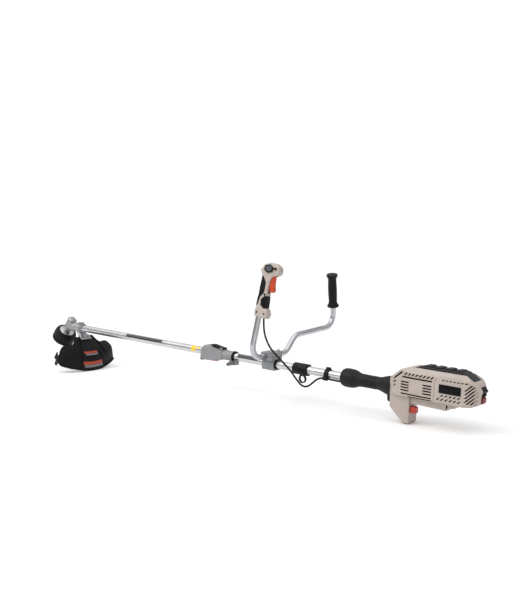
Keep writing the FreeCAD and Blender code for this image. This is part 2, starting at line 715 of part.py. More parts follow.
def make_throttle_inserts():
    """Soft pads on both faces of the grip, and one on the front of its lower part."""
    lower = [(4, 61), (13, 68), (21, 69), (22, 61), (24, 36), (20, 31), (8, 33), (2, 46)]
    upper = [(-8, 126), (-2, 126), (9, 112), (11, 92), (9, 79), (3, 71), (-8, 68)]
    pads = []
    for outline in (lower, upper):
        for side in (-1, 1):
            low = side * HANDLE_HALF
            high = side * (HANDLE_HALF + 1.4)
            pads.append(side_prism(outline, min(low, high), max(low, high)))
    pads.append(block(-13.8, -12.6, -9, 9, 33, 60))
    return on_handle(Part.makeCompound(pads))


def cable_radius(index, turn):
    runs = [(CABLE_ROUTE[i + 1] - CABLE_ROUTE[i]).Length for i in (index - 1, index)]
    return 0.45 * min(runs) / math.tan(turn / 2)


def cable_wire():
    return path_wire(CABLE_ROUTE, cable_radius)


def make_throttle_cable():
    """Lead from the foot of the throttle grip, through its clip, into the neck."""
    return rod_along(cable_wire(), CABLE_R)


# ---- powerhead --------------------------------------------------------------------------------
def make_neck_grip():
    """Soft neck between the upper tube and the housing, with a bulb in front and a flared rear."""
    profile = [(1250, 0), (1250, 22), (1255, 27), (1268, 28.5), (1290, 27.5), (1304, 21.5), (1320, 19.5),
               (1372, 18.8), (1388, 22), (1402, 27), (1424.6, 31), (1424.6, 0)]
    body = turned_on_x(profile)
    lip = section_prism([(-14, -20), (14, -20), (9, -44), (-9, -44)], 1412, 1424.6)
    bore = cylinder(V(1240, 0, 0), X, TUBE_R, 200)
    lead_way = cylinder(V(1249, -12.2, -13.2), X, CABLE_R + 0.2, 16)
    pocket = turned_on_x([(1400, 12), (1400, 22), (1425, 26), (1425, 12)])
    return cut(fuse(body, lip), bore, lead_way, pocket)


SIDE_OUTLINE = [
    (1425, -16), (1425, 30), (1462, 60), (1490, 69), (1656, 69), (1686, 50), (1700, 31), (1694, 20),
    (1693, -5), (1677, -12), (1655, -16),
]
PLAN_OUTLINE = [(1425, 25), (1440, 30), (1480, 36), (1505, 38), (1657, 38), (1678, 33), (1700, 13)]
SECTION_OUTLINE = [(-16, 33), (-10, 38), (53, 38), (69, 27)]
FOOT_OUTLINE = [(1426, -10), (1426, -54), (FOOT_FRONT, -93), (FOOT_REAR, -93), (FOOT_REAR, -10)]


def inset_prism(face, inset, run):
    if inset:
        face = face.makeOffset2D(-inset, 2)
    return face.extrude(run)


def body_block(inset):
    """The housing's outer form, or the room inside it when inset by the wall."""
    side = inset_prism(polygon_face([V(x, 0, z) for x, z in SIDE_OUTLINE]), inset, V(0, 100, 0))
    plan = inset_prism(polygon_face([V(x, y, 0) for x, y in mirrored(PLAN_OUTLINE)]), inset, V(0, 0, 200))
    across = [V(0, y, z) for z, y in mirrored(SECTION_OUTLINE)]
    section = inset_prism(polygon_face(across), inset, V(400, 0, 0))
    side.translate(V(0, -50, 0))
    plan.translate(V(0, 0, -100))
    section.translate(V(1380, 0, 0))
    return side.common(plan).common(section)


def foot_block(inset):
    face = polygon_face([V(x, 0, z) for x, z in FOOT_OUTLINE])
    half = FOOT_HALF - inset
    foot = inset_prism(face, inset, V(0, 2 * half, 0))
    foot.translate(V(0, -half, 0))
    return foot


def vent_cutters(side):
    """Cooling slots: two blocks of level slots and a slanted row along the shoulder."""
    y0 = min(side * 50, side * 30)
    y1 = max(side * 50, side * 30)
    cutters = []
    for front in (1464, 1534):
        for row in range(4):
            z = 26 - row * 7.8
            cutters.append(block(front, front + 26, y0, y1, z - 1.4, z + 1.4))
    for slot in range(9):
        x = 1474 + slot * 11.8
        cutters.append(side_prism([(x, 46), (x + 3.2, 46), (x + 7.2, 53), (x + 4, 53)], y0, y1))
    return cutters


def make_housing():
    outer = fuse(body_block(0), foot_block(0))
    room = fuse(body_block(WALL), foot_block(WALL))
    front_way = cylinder(V(1410, 0, 0), X, 21, 22)
    battery_way = block(1500, 1690, -BATTERY_HALF - 0.6, BATTERY_HALF + 0.6, 40, 90)
    battery_way = battery_way.common(side_prism([(1500, 60), (1658, 60), (1690, 40), (1690, 90),
                                                 (1500, 90)], -40, 40))
    release_way = block(1660, 1710, -9.4, 9.4, RELEASE_Z - 11.4, RELEASE_Z + 11.4)
    button_way = block(FOOT_REAR - 8, FOOT_REAR + 5, POWER_BUTTON_Y - 9.4, POWER_BUTTON_Y + 9.4,
                       POWER_BUTTON_Z - 9.4, POWER_BUTTON_Z + 9.4)
    tray_way = block(1492, 1628, -16, 16, -20, -12)
    vents = vent_cutters(1) + vent_cutters(-1)
    return cut(outer, room, front_way, battery_way, release_way, button_way, tray_way, *vents)


def housing_half(side):
    room = block(1400, 1720, min(0, side * 60), max(0, side * 60), -120, 120)
    bosses = []
    for x, z in HOUSING_SCREWS:
        bosses.append(cylinder(V(x, 0, z), V(0, side, 0), 4, 39).common(body_block(0.5)))
    half = fuse(make_housing().common(room), *bosses)
    shanks = [cylinder(V(x, -50, z), Y, 1.6, 100) for x, z in HOUSING_SCREWS]
    heads = [cylinder(V(x, -50, z), Y, 3.2, 22.5) for x, z in HOUSING_SCREWS]
    return cut(half, *shanks, *heads)


def make_housing_near():
    return housing_half(-1)


def make_housing_far():
    return housing_half(1)


def make_casing_screws():
    """Self-tapping screws of the housing halves and of the throttle grip's halves."""
    screws = [socket_screw(V(x, -30, z), Y, 3.2, 2.5, 1.6, 34) for x, z in HOUSING_SCREWS]
    for x, z in GRIP_SCREWS:
        screws.append(on_handle(socket_screw(V(x, -HANDLE_HALF - 1, z), Y, 3.2, 2.5, 1.6, 20)))
    return Part.makeCompound(screws)


def make_name_plate():
    """Blank dark plate on each side of the housing."""
    plates = []
    for side in (-1, 1):
        low = side * 38
        high = side * 39
        plates.append(block(1584, 1649, min(low, high), max(low, high), 14, 38))
    return Part.makeCompound(plates)


def make_foot_cap():
    """Hard-wearing cap under the foot; its level underside is the face that the tool rests on."""
    return side_prism([(1464, -93), (FOOT_REAR, -93), (FOOT_REAR - 2, -104), (1476, -104)], -20, 20)


def make_controller_cover():
    """Tray under the housing that closes the controller's bay."""
    outline = [(1488, -16), (1488, -36), (1598, -38), (1604, -30), (1622, -28), (1632, -16)]
    outer = side_prism(outline, -19, 19)
    inner = [(1491, -15), (1491, -33.2), (1596, -35), (1600, -27), (1620, -25), (1627, -15)]
    room = side_prism(inner, -16, 16)
    return cut(outer, room)


def make_controller_board():
    """Circuit board with capacitors, heat sink and the two blades that meet the battery."""
    board = block(1496, 1590, -14, 14, -26, -24.4)
    sink = block(1500, 1530, -11, 11, -24.4, -19)
    caps = [cylinder(V(x, 0, -24.4), Z, 5, 8) for x in (1545, 1558)]
    blades = [block(1580, 1581.2, y, y + 8, -24.4, -0.5) for y in (-12, 4)]
    return fuse(board, sink, *caps, *blades)


def make_motor_mount():
    """Cast plate that clamps the upper tube and carries the motor."""
    plate = cylinder(V(1433, 0, 0), X, 20.5, 12)
    bore = cylinder(V(1400, 0, 0), X, TUBE_R + BORE_FIT, UPPER_TUBE_REAR - 1400)
    neck = cylinder(V(1404, 0, 0), X, 17, 30)
    way = cylinder(V(1420, 0, 0), X, 6, 40)
    seat = cylinder(V(1437, 0, 0), X, 8, 6)
    return cut(fuse(plate, neck), bore, way, seat)


def make_motor_stator():
    """Stator can with its windings: a ring of slots round the rotor."""
    can = ring(V(MOTOR_FRONT, 0, 0), X, 22, 19.5, MOTOR_REAR - MOTOR_FRONT)
    core = ring(V(MOTOR_FRONT + 3, 0, 0), X, 19.5, 13, MOTOR_REAR - MOTOR_FRONT - 8)
    slots = []
    for slot in range(9):
        tool = block(MOTOR_FRONT, MOTOR_REAR, -1.2, 1.2, 12, 18)
        tool.rotate(V(0, 0, 0), X, slot * 40)
        slots.append(tool)
    rear = ring(V(MOTOR_REAR - 3, 0, 0), X, 19.5, 8, 3)
    return fuse(can, cut(core, *slots), rear)


def make_motor_rotor():
    shaft = cylinder(V(1441, 0, 0), X, SHAFT_R, 44)
    magnets = cylinder(V(MOTOR_FRONT + 2, 0, 0), X, 12.4, 28)
    return fuse(shaft, magnets)


def make_motor_bearings():
    front = ring(V(1437, 0, 0), X, 8, SHAFT_R + SHAFT_FIT, 4)
    rear = ring(V(MOTOR_REAR - 3, 0, 0), X, 8, SHAFT_R + SHAFT_FIT, 3)
    return Part.makeCompound([front, rear])


def make_battery_cradle():
    """Guide frame that the battery pack drops into, with the ears of the latch's pin."""
    floor = block(1500, 1657, -30, 30, -12.5, -9.5)
    front = block(1500, 1503, -30, 30, -9.5, 55)
    walls = [block(1503, 1657, y0, y0 + 2.5, -9.5, 50) for y0 in (-28, 25.5)]
    latch_foot = block(1655, 1668, -14, 14, -9.8, -7)
    ears = [block(1660, 1668, y0, y0 + 3, -9.5, 30) for y0 in (-14, 11)]
    blade_ways = [block(1578, 1583.5, y - 1.5, y + 9.5, -13, -9) for y in (-12, 4)]
    pin_way = cylinder(LATCH_PIVOT - Y * 20, Y, 2 + SHAFT_FIT, 40)
    return cut(fuse(floor, front, *walls, latch_foot, *ears), *blade_ways, pin_way)


def make_battery_pack():
    """Battery pack: a deep case, a ribbed lid level with the housing's top and a rear lip."""
    case = block(BATTERY_FRONT, BATTERY_REAR, -BATTERY_HALF, BATTERY_HALF, -8, 66)
    lid = side_prism([(1503, 66), (1507, 72), (1520, 75), (1656, 75), (1686, 53), (1681, 47), (1654, 63),
                      (1654, 66)], -BATTERY_HALF, BATTERY_HALF)
    ribs = [side_prism([(x - 12, 75), (x - 9, 78.5), (x + 8, 78.5), (x + 11, 75)], -20, 20)
            for x in (1537, 1568, 1599, 1630)]
    blade_ways = [block(1578, 1583.5, y - 1.5, y + 9.5, -9, 5) for y in (-12, 4)]
    notch = block(1650, 1655, -8, 8, 37, 47)
    return cut(fuse(case, lid, *ribs), *blade_ways, notch)


def make_battery_latch():
    """Rocking hook behind the battery pack."""
    outline = [(1659.5, 4), (1662, 4), (1662, 20), (1668, 20), (1668, 28), (1662, 28), (1662, 43.5),
               (1654.5, 43.5), (1656.5, 39.5), (1659.5, 39.5)]
    arm = side_prism(outline, -6, 6)
    pin = cylinder(LATCH_PIVOT - Y * 14, Y, 2, 28)
    return fuse(arm, pin)


def make_release_button():
    """Button on the rear face that rocks the latch off the battery pack."""
    head = side_prism([(1688, -4.5), (1700, -1), (1700, 13), (1688, 16.5)], -9, 9)
    stem = block(1662.4, 1688, -3, 3, RELEASE_Z - 3, RELEASE_Z + 2)
    return fuse(head, stem)


def make_power_button():
    head = block(FOOT_REAR - 6, FOOT_REAR + 18, POWER_BUTTON_Y - 9, POWER_BUTTON_Y + 9,
                 POWER_BUTTON_Z - 9, POWER_BUTTON_Z + 9)
    return rounded(head, 2.5, along(X))


# ---- placing on the floor and writing ---------------------------------------------------------
def floor_placement():
    """Tilts the tool until the guard's rim meets Z = 0, with the origin under the foot."""
    turn = FreeCAD.Rotation(Y, TILT)
    rim = turn.multVec(HEAD.multVec(V(GUARD_RIM[0], 0, GUARD_RIM[1])))
    foot = turn.multVec(V((1476 + FOOT_REAR - 2) / 2, 0, -98))
    return FreeCAD.Placement(V(-foot.x, 0, -rim.z), turn)


WORLD = floor_placement()
BELOW_FLOOR = block(-2000, 600, -400, 400, -200, 0)

PARTS = {
    "lower_tube": make_lower_tube,
    "lower_shaft_bushes": make_lower_shaft_bushes,
    "gear_case": make_gear_case,
    "gear_case_cap": make_gear_case_cap,
    "gear_bearings": make_gear_bearings,
    "guard": make_guard,
    "guard_bracket": make_guard_bracket,
    "guard_screws": make_guard_screws,
    "line_cutter": make_line_cutter,
    "output_shaft": make_output_shaft,
    "bevel_gear": make_bevel_gear,
    "flange_washer": make_flange_washer,
    "drum": make_drum,
    "line_eyelets": make_line_eyelets,
    "spool_spring": make_spool_spring,
    "spool": make_spool,
    "line_coil": make_line_coil,
    "bump_knob": make_bump_knob,
    "lower_drive_shaft": make_lower_drive_shaft,
    "bevel_pinion": make_bevel_pinion,
    "upper_drive_shaft": make_upper_drive_shaft,
    "motor_rotor": make_motor_rotor,
    "upper_tube": make_upper_tube,
    "upper_shaft_bushes": make_upper_shaft_bushes,
    "coupler_body": make_coupler_body,
    "coupler_lock": make_coupler_lock,
    "coupler_knob": make_coupler_knob,
    "handlebar": make_handlebar,
    "rubber_grip": make_rubber_grip,
    "handle_clamp_lower": make_handle_clamp_lower,
    "handle_clamp_cap": make_handle_clamp_cap,
    "handle_clamp_sleeve": make_handle_clamp_sleeve,
    "clamp_screws": make_clamp_screws,
    "hanger_clamp": make_hanger_clamp,
    "cable_clip": make_cable_clip,
    "throttle_shell_near": make_throttle_shell_near,
    "throttle_shell_far": make_throttle_shell_far,
    "throttle_inserts": make_throttle_inserts,
    "display_unit": make_display_unit,
    "mode_button": make_mode_button,
    "cruise_button": make_cruise_button,
    "trigger": make_trigger,
    "lockout_lever": make_lockout_lever,
    "throttle_cable": make_throttle_cable,
    "neck_grip": make_neck_grip,
    "housing_near": make_housing_near,
    "housing_far": make_housing_far,
    "casing_screws": make_casing_screws,
    "name_plate": make_name_plate,
    "foot_cap": make_foot_cap,
    "controller_cover": make_controller_cover,
    "controller_board": make_controller_board,
    "motor_mount": make_motor_mount,
    "motor_stator": make_motor_stator,
    "motor_bearings": make_motor_bearings,
    "battery_cradle": make_battery_cradle,
    "battery_pack": make_battery_pack,
    "battery_latch": make_battery_latch,
    "release_button": make_release_button,
    "power_button": make_power_button,
}


def finished(name):
    """A sub-part in the row frame; the foot's cap is planed off level with the floor."""
    shape = placed(PARTS[name](), WORLD)
    if name == "foot_cap":
        shape = shape.cut(BELOW_FLOOR)
    return shape


def main():
    os.makedirs("parts", exist_ok=True)
    for name in PARTS:
        shape = finished(name)
        shape.exportStep("parts/" + name + ".step")
        box = shape.BoundBox
        print("%-20s solids %2d valid %s volume %9.0f z %7.1f %7.1f" % (
            name, len(shape.Solids), shape.isValid(), shape.Volume, box.ZMin, box.ZMax))
    radii = [round(edge.Curve.Radius, 1) for edge in cable_wire().Edges if hasattr(edge.Curve, "Radius")]
    print("lead: length %.1f, tube volume / length %.2f, radii %s" % (
        cable_wire().Length, make_throttle_cable().Volume / cable_wire().Length, radii))


if __name__ == "__main__":
    main()
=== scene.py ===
import json
from contextlib import contextmanager
from math import cos, dist, pi, radians, sin, sqrt, tan

import bmesh
import bpy
from mathutils import Matrix, Vector


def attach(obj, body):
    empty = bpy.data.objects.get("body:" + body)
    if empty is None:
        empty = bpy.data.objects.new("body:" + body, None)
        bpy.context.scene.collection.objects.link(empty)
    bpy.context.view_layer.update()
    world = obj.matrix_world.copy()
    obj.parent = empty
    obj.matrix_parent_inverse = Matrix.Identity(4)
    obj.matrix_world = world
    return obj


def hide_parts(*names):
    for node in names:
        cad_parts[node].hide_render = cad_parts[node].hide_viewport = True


# Looks of the string trimmer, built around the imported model.  Shapes are drawn in millimetres in four
# local frames that are worked out from the model's joints, and placed in metres.

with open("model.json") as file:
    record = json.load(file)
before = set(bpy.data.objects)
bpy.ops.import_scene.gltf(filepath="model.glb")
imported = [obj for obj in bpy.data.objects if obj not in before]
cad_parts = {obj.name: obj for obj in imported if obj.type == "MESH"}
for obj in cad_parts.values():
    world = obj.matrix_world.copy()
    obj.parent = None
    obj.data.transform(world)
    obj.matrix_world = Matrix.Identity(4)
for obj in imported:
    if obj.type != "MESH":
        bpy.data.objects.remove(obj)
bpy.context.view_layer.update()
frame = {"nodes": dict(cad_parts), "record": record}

MM = 0.001
NODES = frame["nodes"]
RECORD = frame["record"]
JOINTS = {joint["name"]: joint for joint in RECORD["behaviour"]["joints"]}
SLOT_OF = {entry["node"]: entry["material_slot"] for entry in RECORD["subparts"]}
BODY_OF = {node: body for body, nodes in RECORD["behaviour"]["bodies"].items() for node in nodes}
POWERHEAD = "powerhead"
LOWER_UNIT = "lower_unit"


# ---- local frames ----
def placement(origin, x_axis, y_axis, z_axis):
    matrix = Matrix((x_axis, y_axis, z_axis)).transposed().to_4x4()
    matrix.translation = origin
    return matrix @ Matrix.Scale(MM, 4)


def upright(origin, up, forward):
    """A frame whose Z is up, and whose X is the part of forward that is square to it."""
    up = Vector(up).normalized()
    forward = Vector(forward)
    forward = (forward - up * forward.dot(up)).normalized()
    return placement(origin, forward, up.cross(forward), up)


HEAD_X = -88.0
SIDE = Vector((0, 1, 0))
SHAFT_AXIS = Vector(JOINTS["lower_shaft_spin"]["axis"])
HEAD_POINT = Vector(JOINTS["head_spin"]["pos_m"])
SPIN_UP = -Vector(JOINTS["head_spin"]["axis"])
TOOL = placement(HEAD_POINT - SHAFT_AXIS * HEAD_X * MM, SHAFT_AXIS, SIDE, SHAFT_AXIS.cross(SIDE))
HEAD = placement(HEAD_POINT, SIDE.cross(SPIN_UP), SIDE, SPIN_UP)

TRIGGER_X, TRIGGER_Z = 27.0, 141.0
GRIP_X = Vector(JOINTS["cruise_button_press"]["axis"])
GRIP_Y = Vector(JOINTS["trigger_squeeze"]["axis"])
GRIP_UP = GRIP_X.cross(GRIP_Y)
TRIGGER_POINT = Vector(JOINTS["trigger_squeeze"]["pos_m"])
GRIP = placement(TRIGGER_POINT - (GRIP_X * TRIGGER_X + GRIP_UP * TRIGGER_Z) * MM, GRIP_X, GRIP_Y, GRIP_UP)

BAR_R, BAR_BORE_R = 9.5, 7.7
BAR_X, BAR_Z = 965.0, 25.0
NEAR_CORNER = Vector((BAR_X, -99, BAR_Z))
NEAR_LEAN = Vector((0.09, 0.155, 1.0))
NEAR_BAR_END, FAR_BAR_END = 186.0, 182.5
BAR_BENDS = {1: 42, 2: 38, 3: 46, 4: 40}
FAR_CORNER = Vector((BAR_X, 352, 92))
FAR_LEAN = Vector((0.09, -0.26, 1.0))
FAR_GRIP_START = 71.0
FAR_GRIP_LENGTH = 116.0
FAR_GRIP_FOOT = FAR_CORNER + FAR_LEAN * FAR_GRIP_START
FAR_GRIP = TOOL @ upright(FAR_GRIP_FOOT, FAR_LEAN, (1, 0, 0)) @ Matrix.Scale(1 / MM, 4)


def at(x, y, z):
    """A point of the tool's frame, in metres."""
    return TOOL @ Vector((x, y, z))


def placed(name, data):
    """A new object in the scene."""
    thing = bpy.data.objects.new(name, data)
    bpy.context.scene.collection.objects.link(thing)
    return thing


# ---- camera, light and floor ----
CAMERA_RIGHT = Vector((0.76734, 0.64036, 0.03361))
CAMERA_UP = Vector((-0.09381, 0.06026, 0.99376))
CAMERA_PLACE = (2564.06, -1978.92, 475.69)
SENSOR_WIDTH, LENS = 36, 48
AMBIENT, BACKDROP = 0.86, 1.05
HORIZON = (0.3, 0.3, 0.31)
LIT_POINT = Vector((-0.7, 0, 0.2))
SUN_SPREAD = radians(80)
FLOOR_HALF = 9.0
FLOOR_COLOUR = (0.93, 0.93, 0.93, 1)


def make_camera():
    data = bpy.data.cameras.new("camera")
    data.sensor_width = SENSOR_WIDTH
    data.lens = LENS
    camera = placed("camera", data)
    right = TOOL.to_3x3() @ CAMERA_RIGHT / MM
    up = TOOL.to_3x3() @ CAMERA_UP / MM
    matrix = Matrix((right, up, right.cross(up))).transposed().to_4x4()
    matrix.translation = at(*CAMERA_PLACE)
    camera.matrix_world = matrix
    bpy.context.scene.camera = camera


def add_light(kind, name, direction, power, **settings):
    data = bpy.data.lights.new(name, kind)
    data.energy = power
    for key, value in settings.items():
        setattr(data, key, value)
    light = placed(name, data)
    light.rotation_euler = direction.to_track_quat("-Z", "Y").to_euler()
    return light


def make_world():
    """A white backdrop for the camera, and a weaker even light for everything else."""
    world = bpy.data.worlds.new("studio")
    world.use_nodes = True
    tree = world.node_tree
    ambient = tree.nodes["Background"]
    height = tree.nodes.new("ShaderNodeSeparateXYZ")
    tree.links.new(tree.nodes.new("ShaderNodeTexCoord").outputs["Generated"], height.inputs[0])
    ramp = tree.nodes.new("ShaderNodeValToRGB")
    low, high = ramp.color_ramp.elements
    low.position, high.position = 0.05, 0.6
    low.color, high.color = (*HORIZON, 1), (1, 1, 1, 1)
    tree.links.new(height.outputs["Z"], ramp.inputs[0])
    tree.links.new(ramp.outputs["Color"], ambient.inputs["Color"])
    ambient.inputs["Strength"].default_value = AMBIENT
    backdrop = tree.nodes.new("ShaderNodeBackground")
    backdrop.inputs["Color"].default_value = (1.0, 1.0, 1.0, 1)
    backdrop.inputs["Strength"].default_value = BACKDROP
    mix = tree.nodes.new("ShaderNodeMixShader")
    seen = tree.nodes.new("ShaderNodeLightPath").outputs["Is Camera Ray"]
    tree.links.new(seen, mix.inputs[0])
    tree.links.new(ambient.outputs[0], mix.inputs[1])
    tree.links.new(backdrop.outputs[0], mix.inputs[2])
    tree.links.new(mix.outputs[0], tree.nodes["World Output"].inputs["Surface"])
    bpy.context.scene.world = world


def make_light():
    areas = (("key_light", (-1.8, -2.2, 2.6), 1.8, 34), ("fill_light", (2.2, -2.0, 2.2), 2.6, 4))
    for name, place, size, power in areas:
        light = add_light("AREA", name, LIT_POINT - Vector(place), power, shape="DISK", size=size)
        light.location = place
    suns = (("overhead_sun", (0.2, 0.3, -1.0), 0.95), ("side_sun", (-0.5, 1.0, -0.9), 0.35))
    for name, direction, power in suns:
        add_light("SUN", name, Vector(direction), power, angle=SUN_SPREAD)
    make_world()
    bpy.context.scene.view_settings.view_transform = "Standard"


def make_floor():
    corners = [(x * FLOOR_HALF, y * FLOOR_HALF, 0) for x, y in ((-1, -1), (1, -1), (1, 1), (-1, 1))]
    mesh = bpy.data.meshes.new("floor")
    mesh.from_pydata(corners, [], [(0, 1, 2, 3)])
    floor = placed("floor", mesh)
    material = bpy.data.materials.new("floor_paper")
    material.use_nodes = True
    shader = material.node_tree.nodes["Principled BSDF"]
    shader.inputs["Base Color"].default_value = FLOOR_COLOUR
    shader.inputs["Roughness"].default_value = 0.85
    mesh.materials.append(material)


# ---- throttle lead ----
LEAD_R = 3.0
LEAD_ROUTE = [
    (998, -79.2, 158), (998, -79, 126), (1005, -76, 94), (1021, -70, 62), (1053, -60, 32),
    (1084, -48, 2), (1104, -39, -27), (1122, -33, -46), (1141, -28.5, -44), (1155, -24, -30),
    (1168, -19, -17), (1183, -16, -12), (1212, -14.5, -12.5), (1240, -12.5, -13.5), (1264, -12.2, -13.2),
]


def make_lead(material):
    curve = bpy.data.curves.new("throttle_lead", "CURVE")
    curve.dimensions = "3D"
    spline = curve.splines.new("NURBS")
    spline.points.add(len(LEAD_ROUTE) - 1)
    for point, place in zip(spline.points, LEAD_ROUTE):
        point.co = (*at(*place), 1)
    spline.order_u = 3
    spline.use_endpoint_u = True
    spline.resolution_u = 16
    curve.bevel_depth = LEAD_R * MM
    curve.bevel_resolution = 8
    curve.use_fill_caps = True
    lead = placed("throttle_lead", curve)
    curve.materials.append(material)
    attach(lead, POWERHEAD)
    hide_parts("throttle_cable")


# ---- materials ----
COAT_ROUGHNESS = 0.08


class Surface:
    """A node material whose coordinates are the mesh's own, in metres; its look is its name and material."""

    def __init__(self, name, metallic=0.0, coat=0.0, specular=0.5):
        material = bpy.data.materials.new(name)
        material.use_nodes = True
        self.look = (name, material)
        self.tree = material.node_tree
        self.shader = self.tree.nodes["Principled BSDF"]
        self.shader.inputs["Metallic"].default_value = metallic
        self.shader.inputs["Specular IOR Level"].default_value = specular
        self.shader.inputs["Coat Weight"].default_value = coat
        self.shader.inputs["Coat Roughness"].default_value = COAT_ROUGHNESS
        self.place = self.add("ShaderNodeTexCoord").outputs["Object"]

    def add(self, kind, **inputs):
        node = self.tree.nodes.new(kind)
        for name, value in inputs.items():
            self.feed(node.inputs[name.replace("_", " ")], value)
        return node

    def feed(self, socket, value):
        if isinstance(value, bpy.types.NodeSocket):
            self.tree.links.new(value, socket)
        else:
            socket.default_value = value

    def stretched(self, scale):
        return self.add("ShaderNodeMapping", Vector=self.place, Scale=scale).outputs["Vector"]

    def noise(self, scale, detail=3.0, vector=None):
        node = self.add("ShaderNodeTexNoise", Scale=scale, Detail=detail)
        self.feed(node.inputs["Vector"], vector or self.place)
        return node.outputs["Fac"]

    def ramp(self, factor, low, high, dark, light):
        node = self.add("ShaderNodeValToRGB", Fac=factor)
        first, last = node.color_ramp.elements
        first.position, last.position = low, high
        first.color, last.color = (*dark, 1), (*light, 1)
        return node.outputs["Color"]

    def spread(self, factor, low, high):
        limits = {"From_Min": 0.3, "From_Max": 0.7, "To_Min": low, "To_Max": high}
        return self.add("ShaderNodeMapRange", Value=factor, **limits).outputs["Result"]

    def tint(self, factor, low, high, colour, dark, light):
        """Colours the surface between a darker and a lighter shade of one colour."""
        tone = self.ramp(factor, low, high, shade(colour, dark), shade(colour, light))
        self.feed(self.shader.inputs["Base Color"], tone)

    def gloss(self, factor, roughness, below, above):
        """Varies the roughness around a middle value."""
        self.feed(self.shader.inputs["Roughness"], self.spread(factor, roughness - below, roughness + above))

    def bump(self, height, distance, strength):
        node = self.add("ShaderNodeBump", Height=height, Distance=distance, Strength=strength)
        self.feed(self.shader.inputs["Normal"], node.outputs["Normal"])


def shade(colour, factor):
    return tuple(min(1.0, channel * factor) for channel in colour)


def moulded(name, colour, roughness, grain=0.00004, variation=0.12, coat=0.0, specular=0.5):
    """Moulded plastic: a spark-eroded grain, faint flow marks and uneven gloss."""
    surface = Surface(name, coat=coat, specular=specular)
    flow = surface.noise(9.0, 4.0)
    blotch = surface.noise(60.0, 3.0)
    tone = surface.ramp(flow, 0.3, 0.7, shade(colour, 1 - variation), shade(colour, 1 + variation * 0.5))
    dusty = surface.ramp(blotch, 0.35, 0.75, (0.92, 0.92, 0.92), (1.0, 1.0, 1.0))
    node = surface.add("ShaderNodeMix")
    node.data_type = "RGBA"
    node.blend_type = "MULTIPLY"
    node.inputs[0].default_value = 1.0
    colours = [socket for socket in node.inputs if socket.type == "RGBA"]
    surface.feed(colours[0], tone)
    surface.feed(colours[1], dusty)
    mixed = [socket for socket in node.outputs if socket.type == "RGBA"][0]
    surface.feed(surface.shader.inputs["Base Color"], mixed)
    surface.gloss(blotch, roughness, 0.06, 0.08)
    surface.bump(surface.noise(2600.0, 2.0), grain, 0.55)
    return surface.look


def drawn_metal(name, colour, roughness, stretch):
    """Drawn or bent tube: fine lines along its length, a few scuffs and a dulled band here and there."""
    surface = Surface(name, metallic=1.0)
    lines = surface.noise(1.0, 4.0, surface.stretched(stretch))
    scuffs = surface.noise(38.0, 6.0)
    surface.tint(scuffs, 0.3, 0.72, colour, 0.86, 1.04)
    surface.gloss(lines, roughness, 0.07, 0.1)
    surface.bump(lines, 0.00003, 0.5)
    return surface.look


def cast_metal(name, colour, roughness, metallic):
    """Die-cast metal under paint: orange peel, pores and slightly worn high spots."""
    surface = Surface(name, metallic=metallic)
    pores = surface.add("ShaderNodeTexVoronoi", Vector=surface.place, Scale=420.0).outputs["Distance"]
    cloud = surface.noise(30.0, 5.0)
    surface.tint(cloud, 0.28, 0.74, colour, 0.82, 1.1)
    surface.gloss(cloud, roughness, 0.05, 0.12)
    surface.bump(pores, 0.00009, 0.5)
    return surface.look


def soft_rubber(name, colour, roughness):
    """Rubber: matt, with a leathery grain and a pale bloom in places."""
    surface = Surface(name, specular=0.14)
    bloom = surface.noise(22.0, 5.0)
    grain = surface.add("ShaderNodeTexVoronoi", Vector=surface.place, Scale=1300.0).outputs["Distance"]
    surface.tint(bloom, 0.3, 0.75, colour, 0.8, 1.5)
    surface.gloss(bloom, roughness, 0.08, 0.08)
    surface.bump(grain, 0.00006, 0.6)
    return surface.look


def turned_steel(name, colour, roughness):
    """Machined or plated steel with a fine even grain and slightly varied tint."""
    surface = Surface(name, metallic=1.0)
    grain = surface.noise(900.0, 3.0, surface.stretched((1.0, 1.0, 0.2)))
    cloud = surface.noise(45.0, 4.0)
    surface.tint(cloud, 0.3, 0.7, colour, 0.8, 1.06)
    surface.gloss(grain, roughness, 0.08, 0.1)
    surface.bump(grain, 0.00002, 0.4)
    return surface.look


def printed(name, colour, roughness):
    """Printed film: even colour with slight mottling and small scratches."""
    surface = Surface(name, coat=0.1, specular=0.3)
    mottle = surface.noise(140.0, 5.0)
    surface.tint(mottle, 0.3, 0.75, colour, 0.82, 1.05)
    surface.gloss(surface.noise(500.0, 4.0), roughness, 0.06, 0.1)
    surface.bump(mottle, 0.00002, 0.3)
    return surface.look


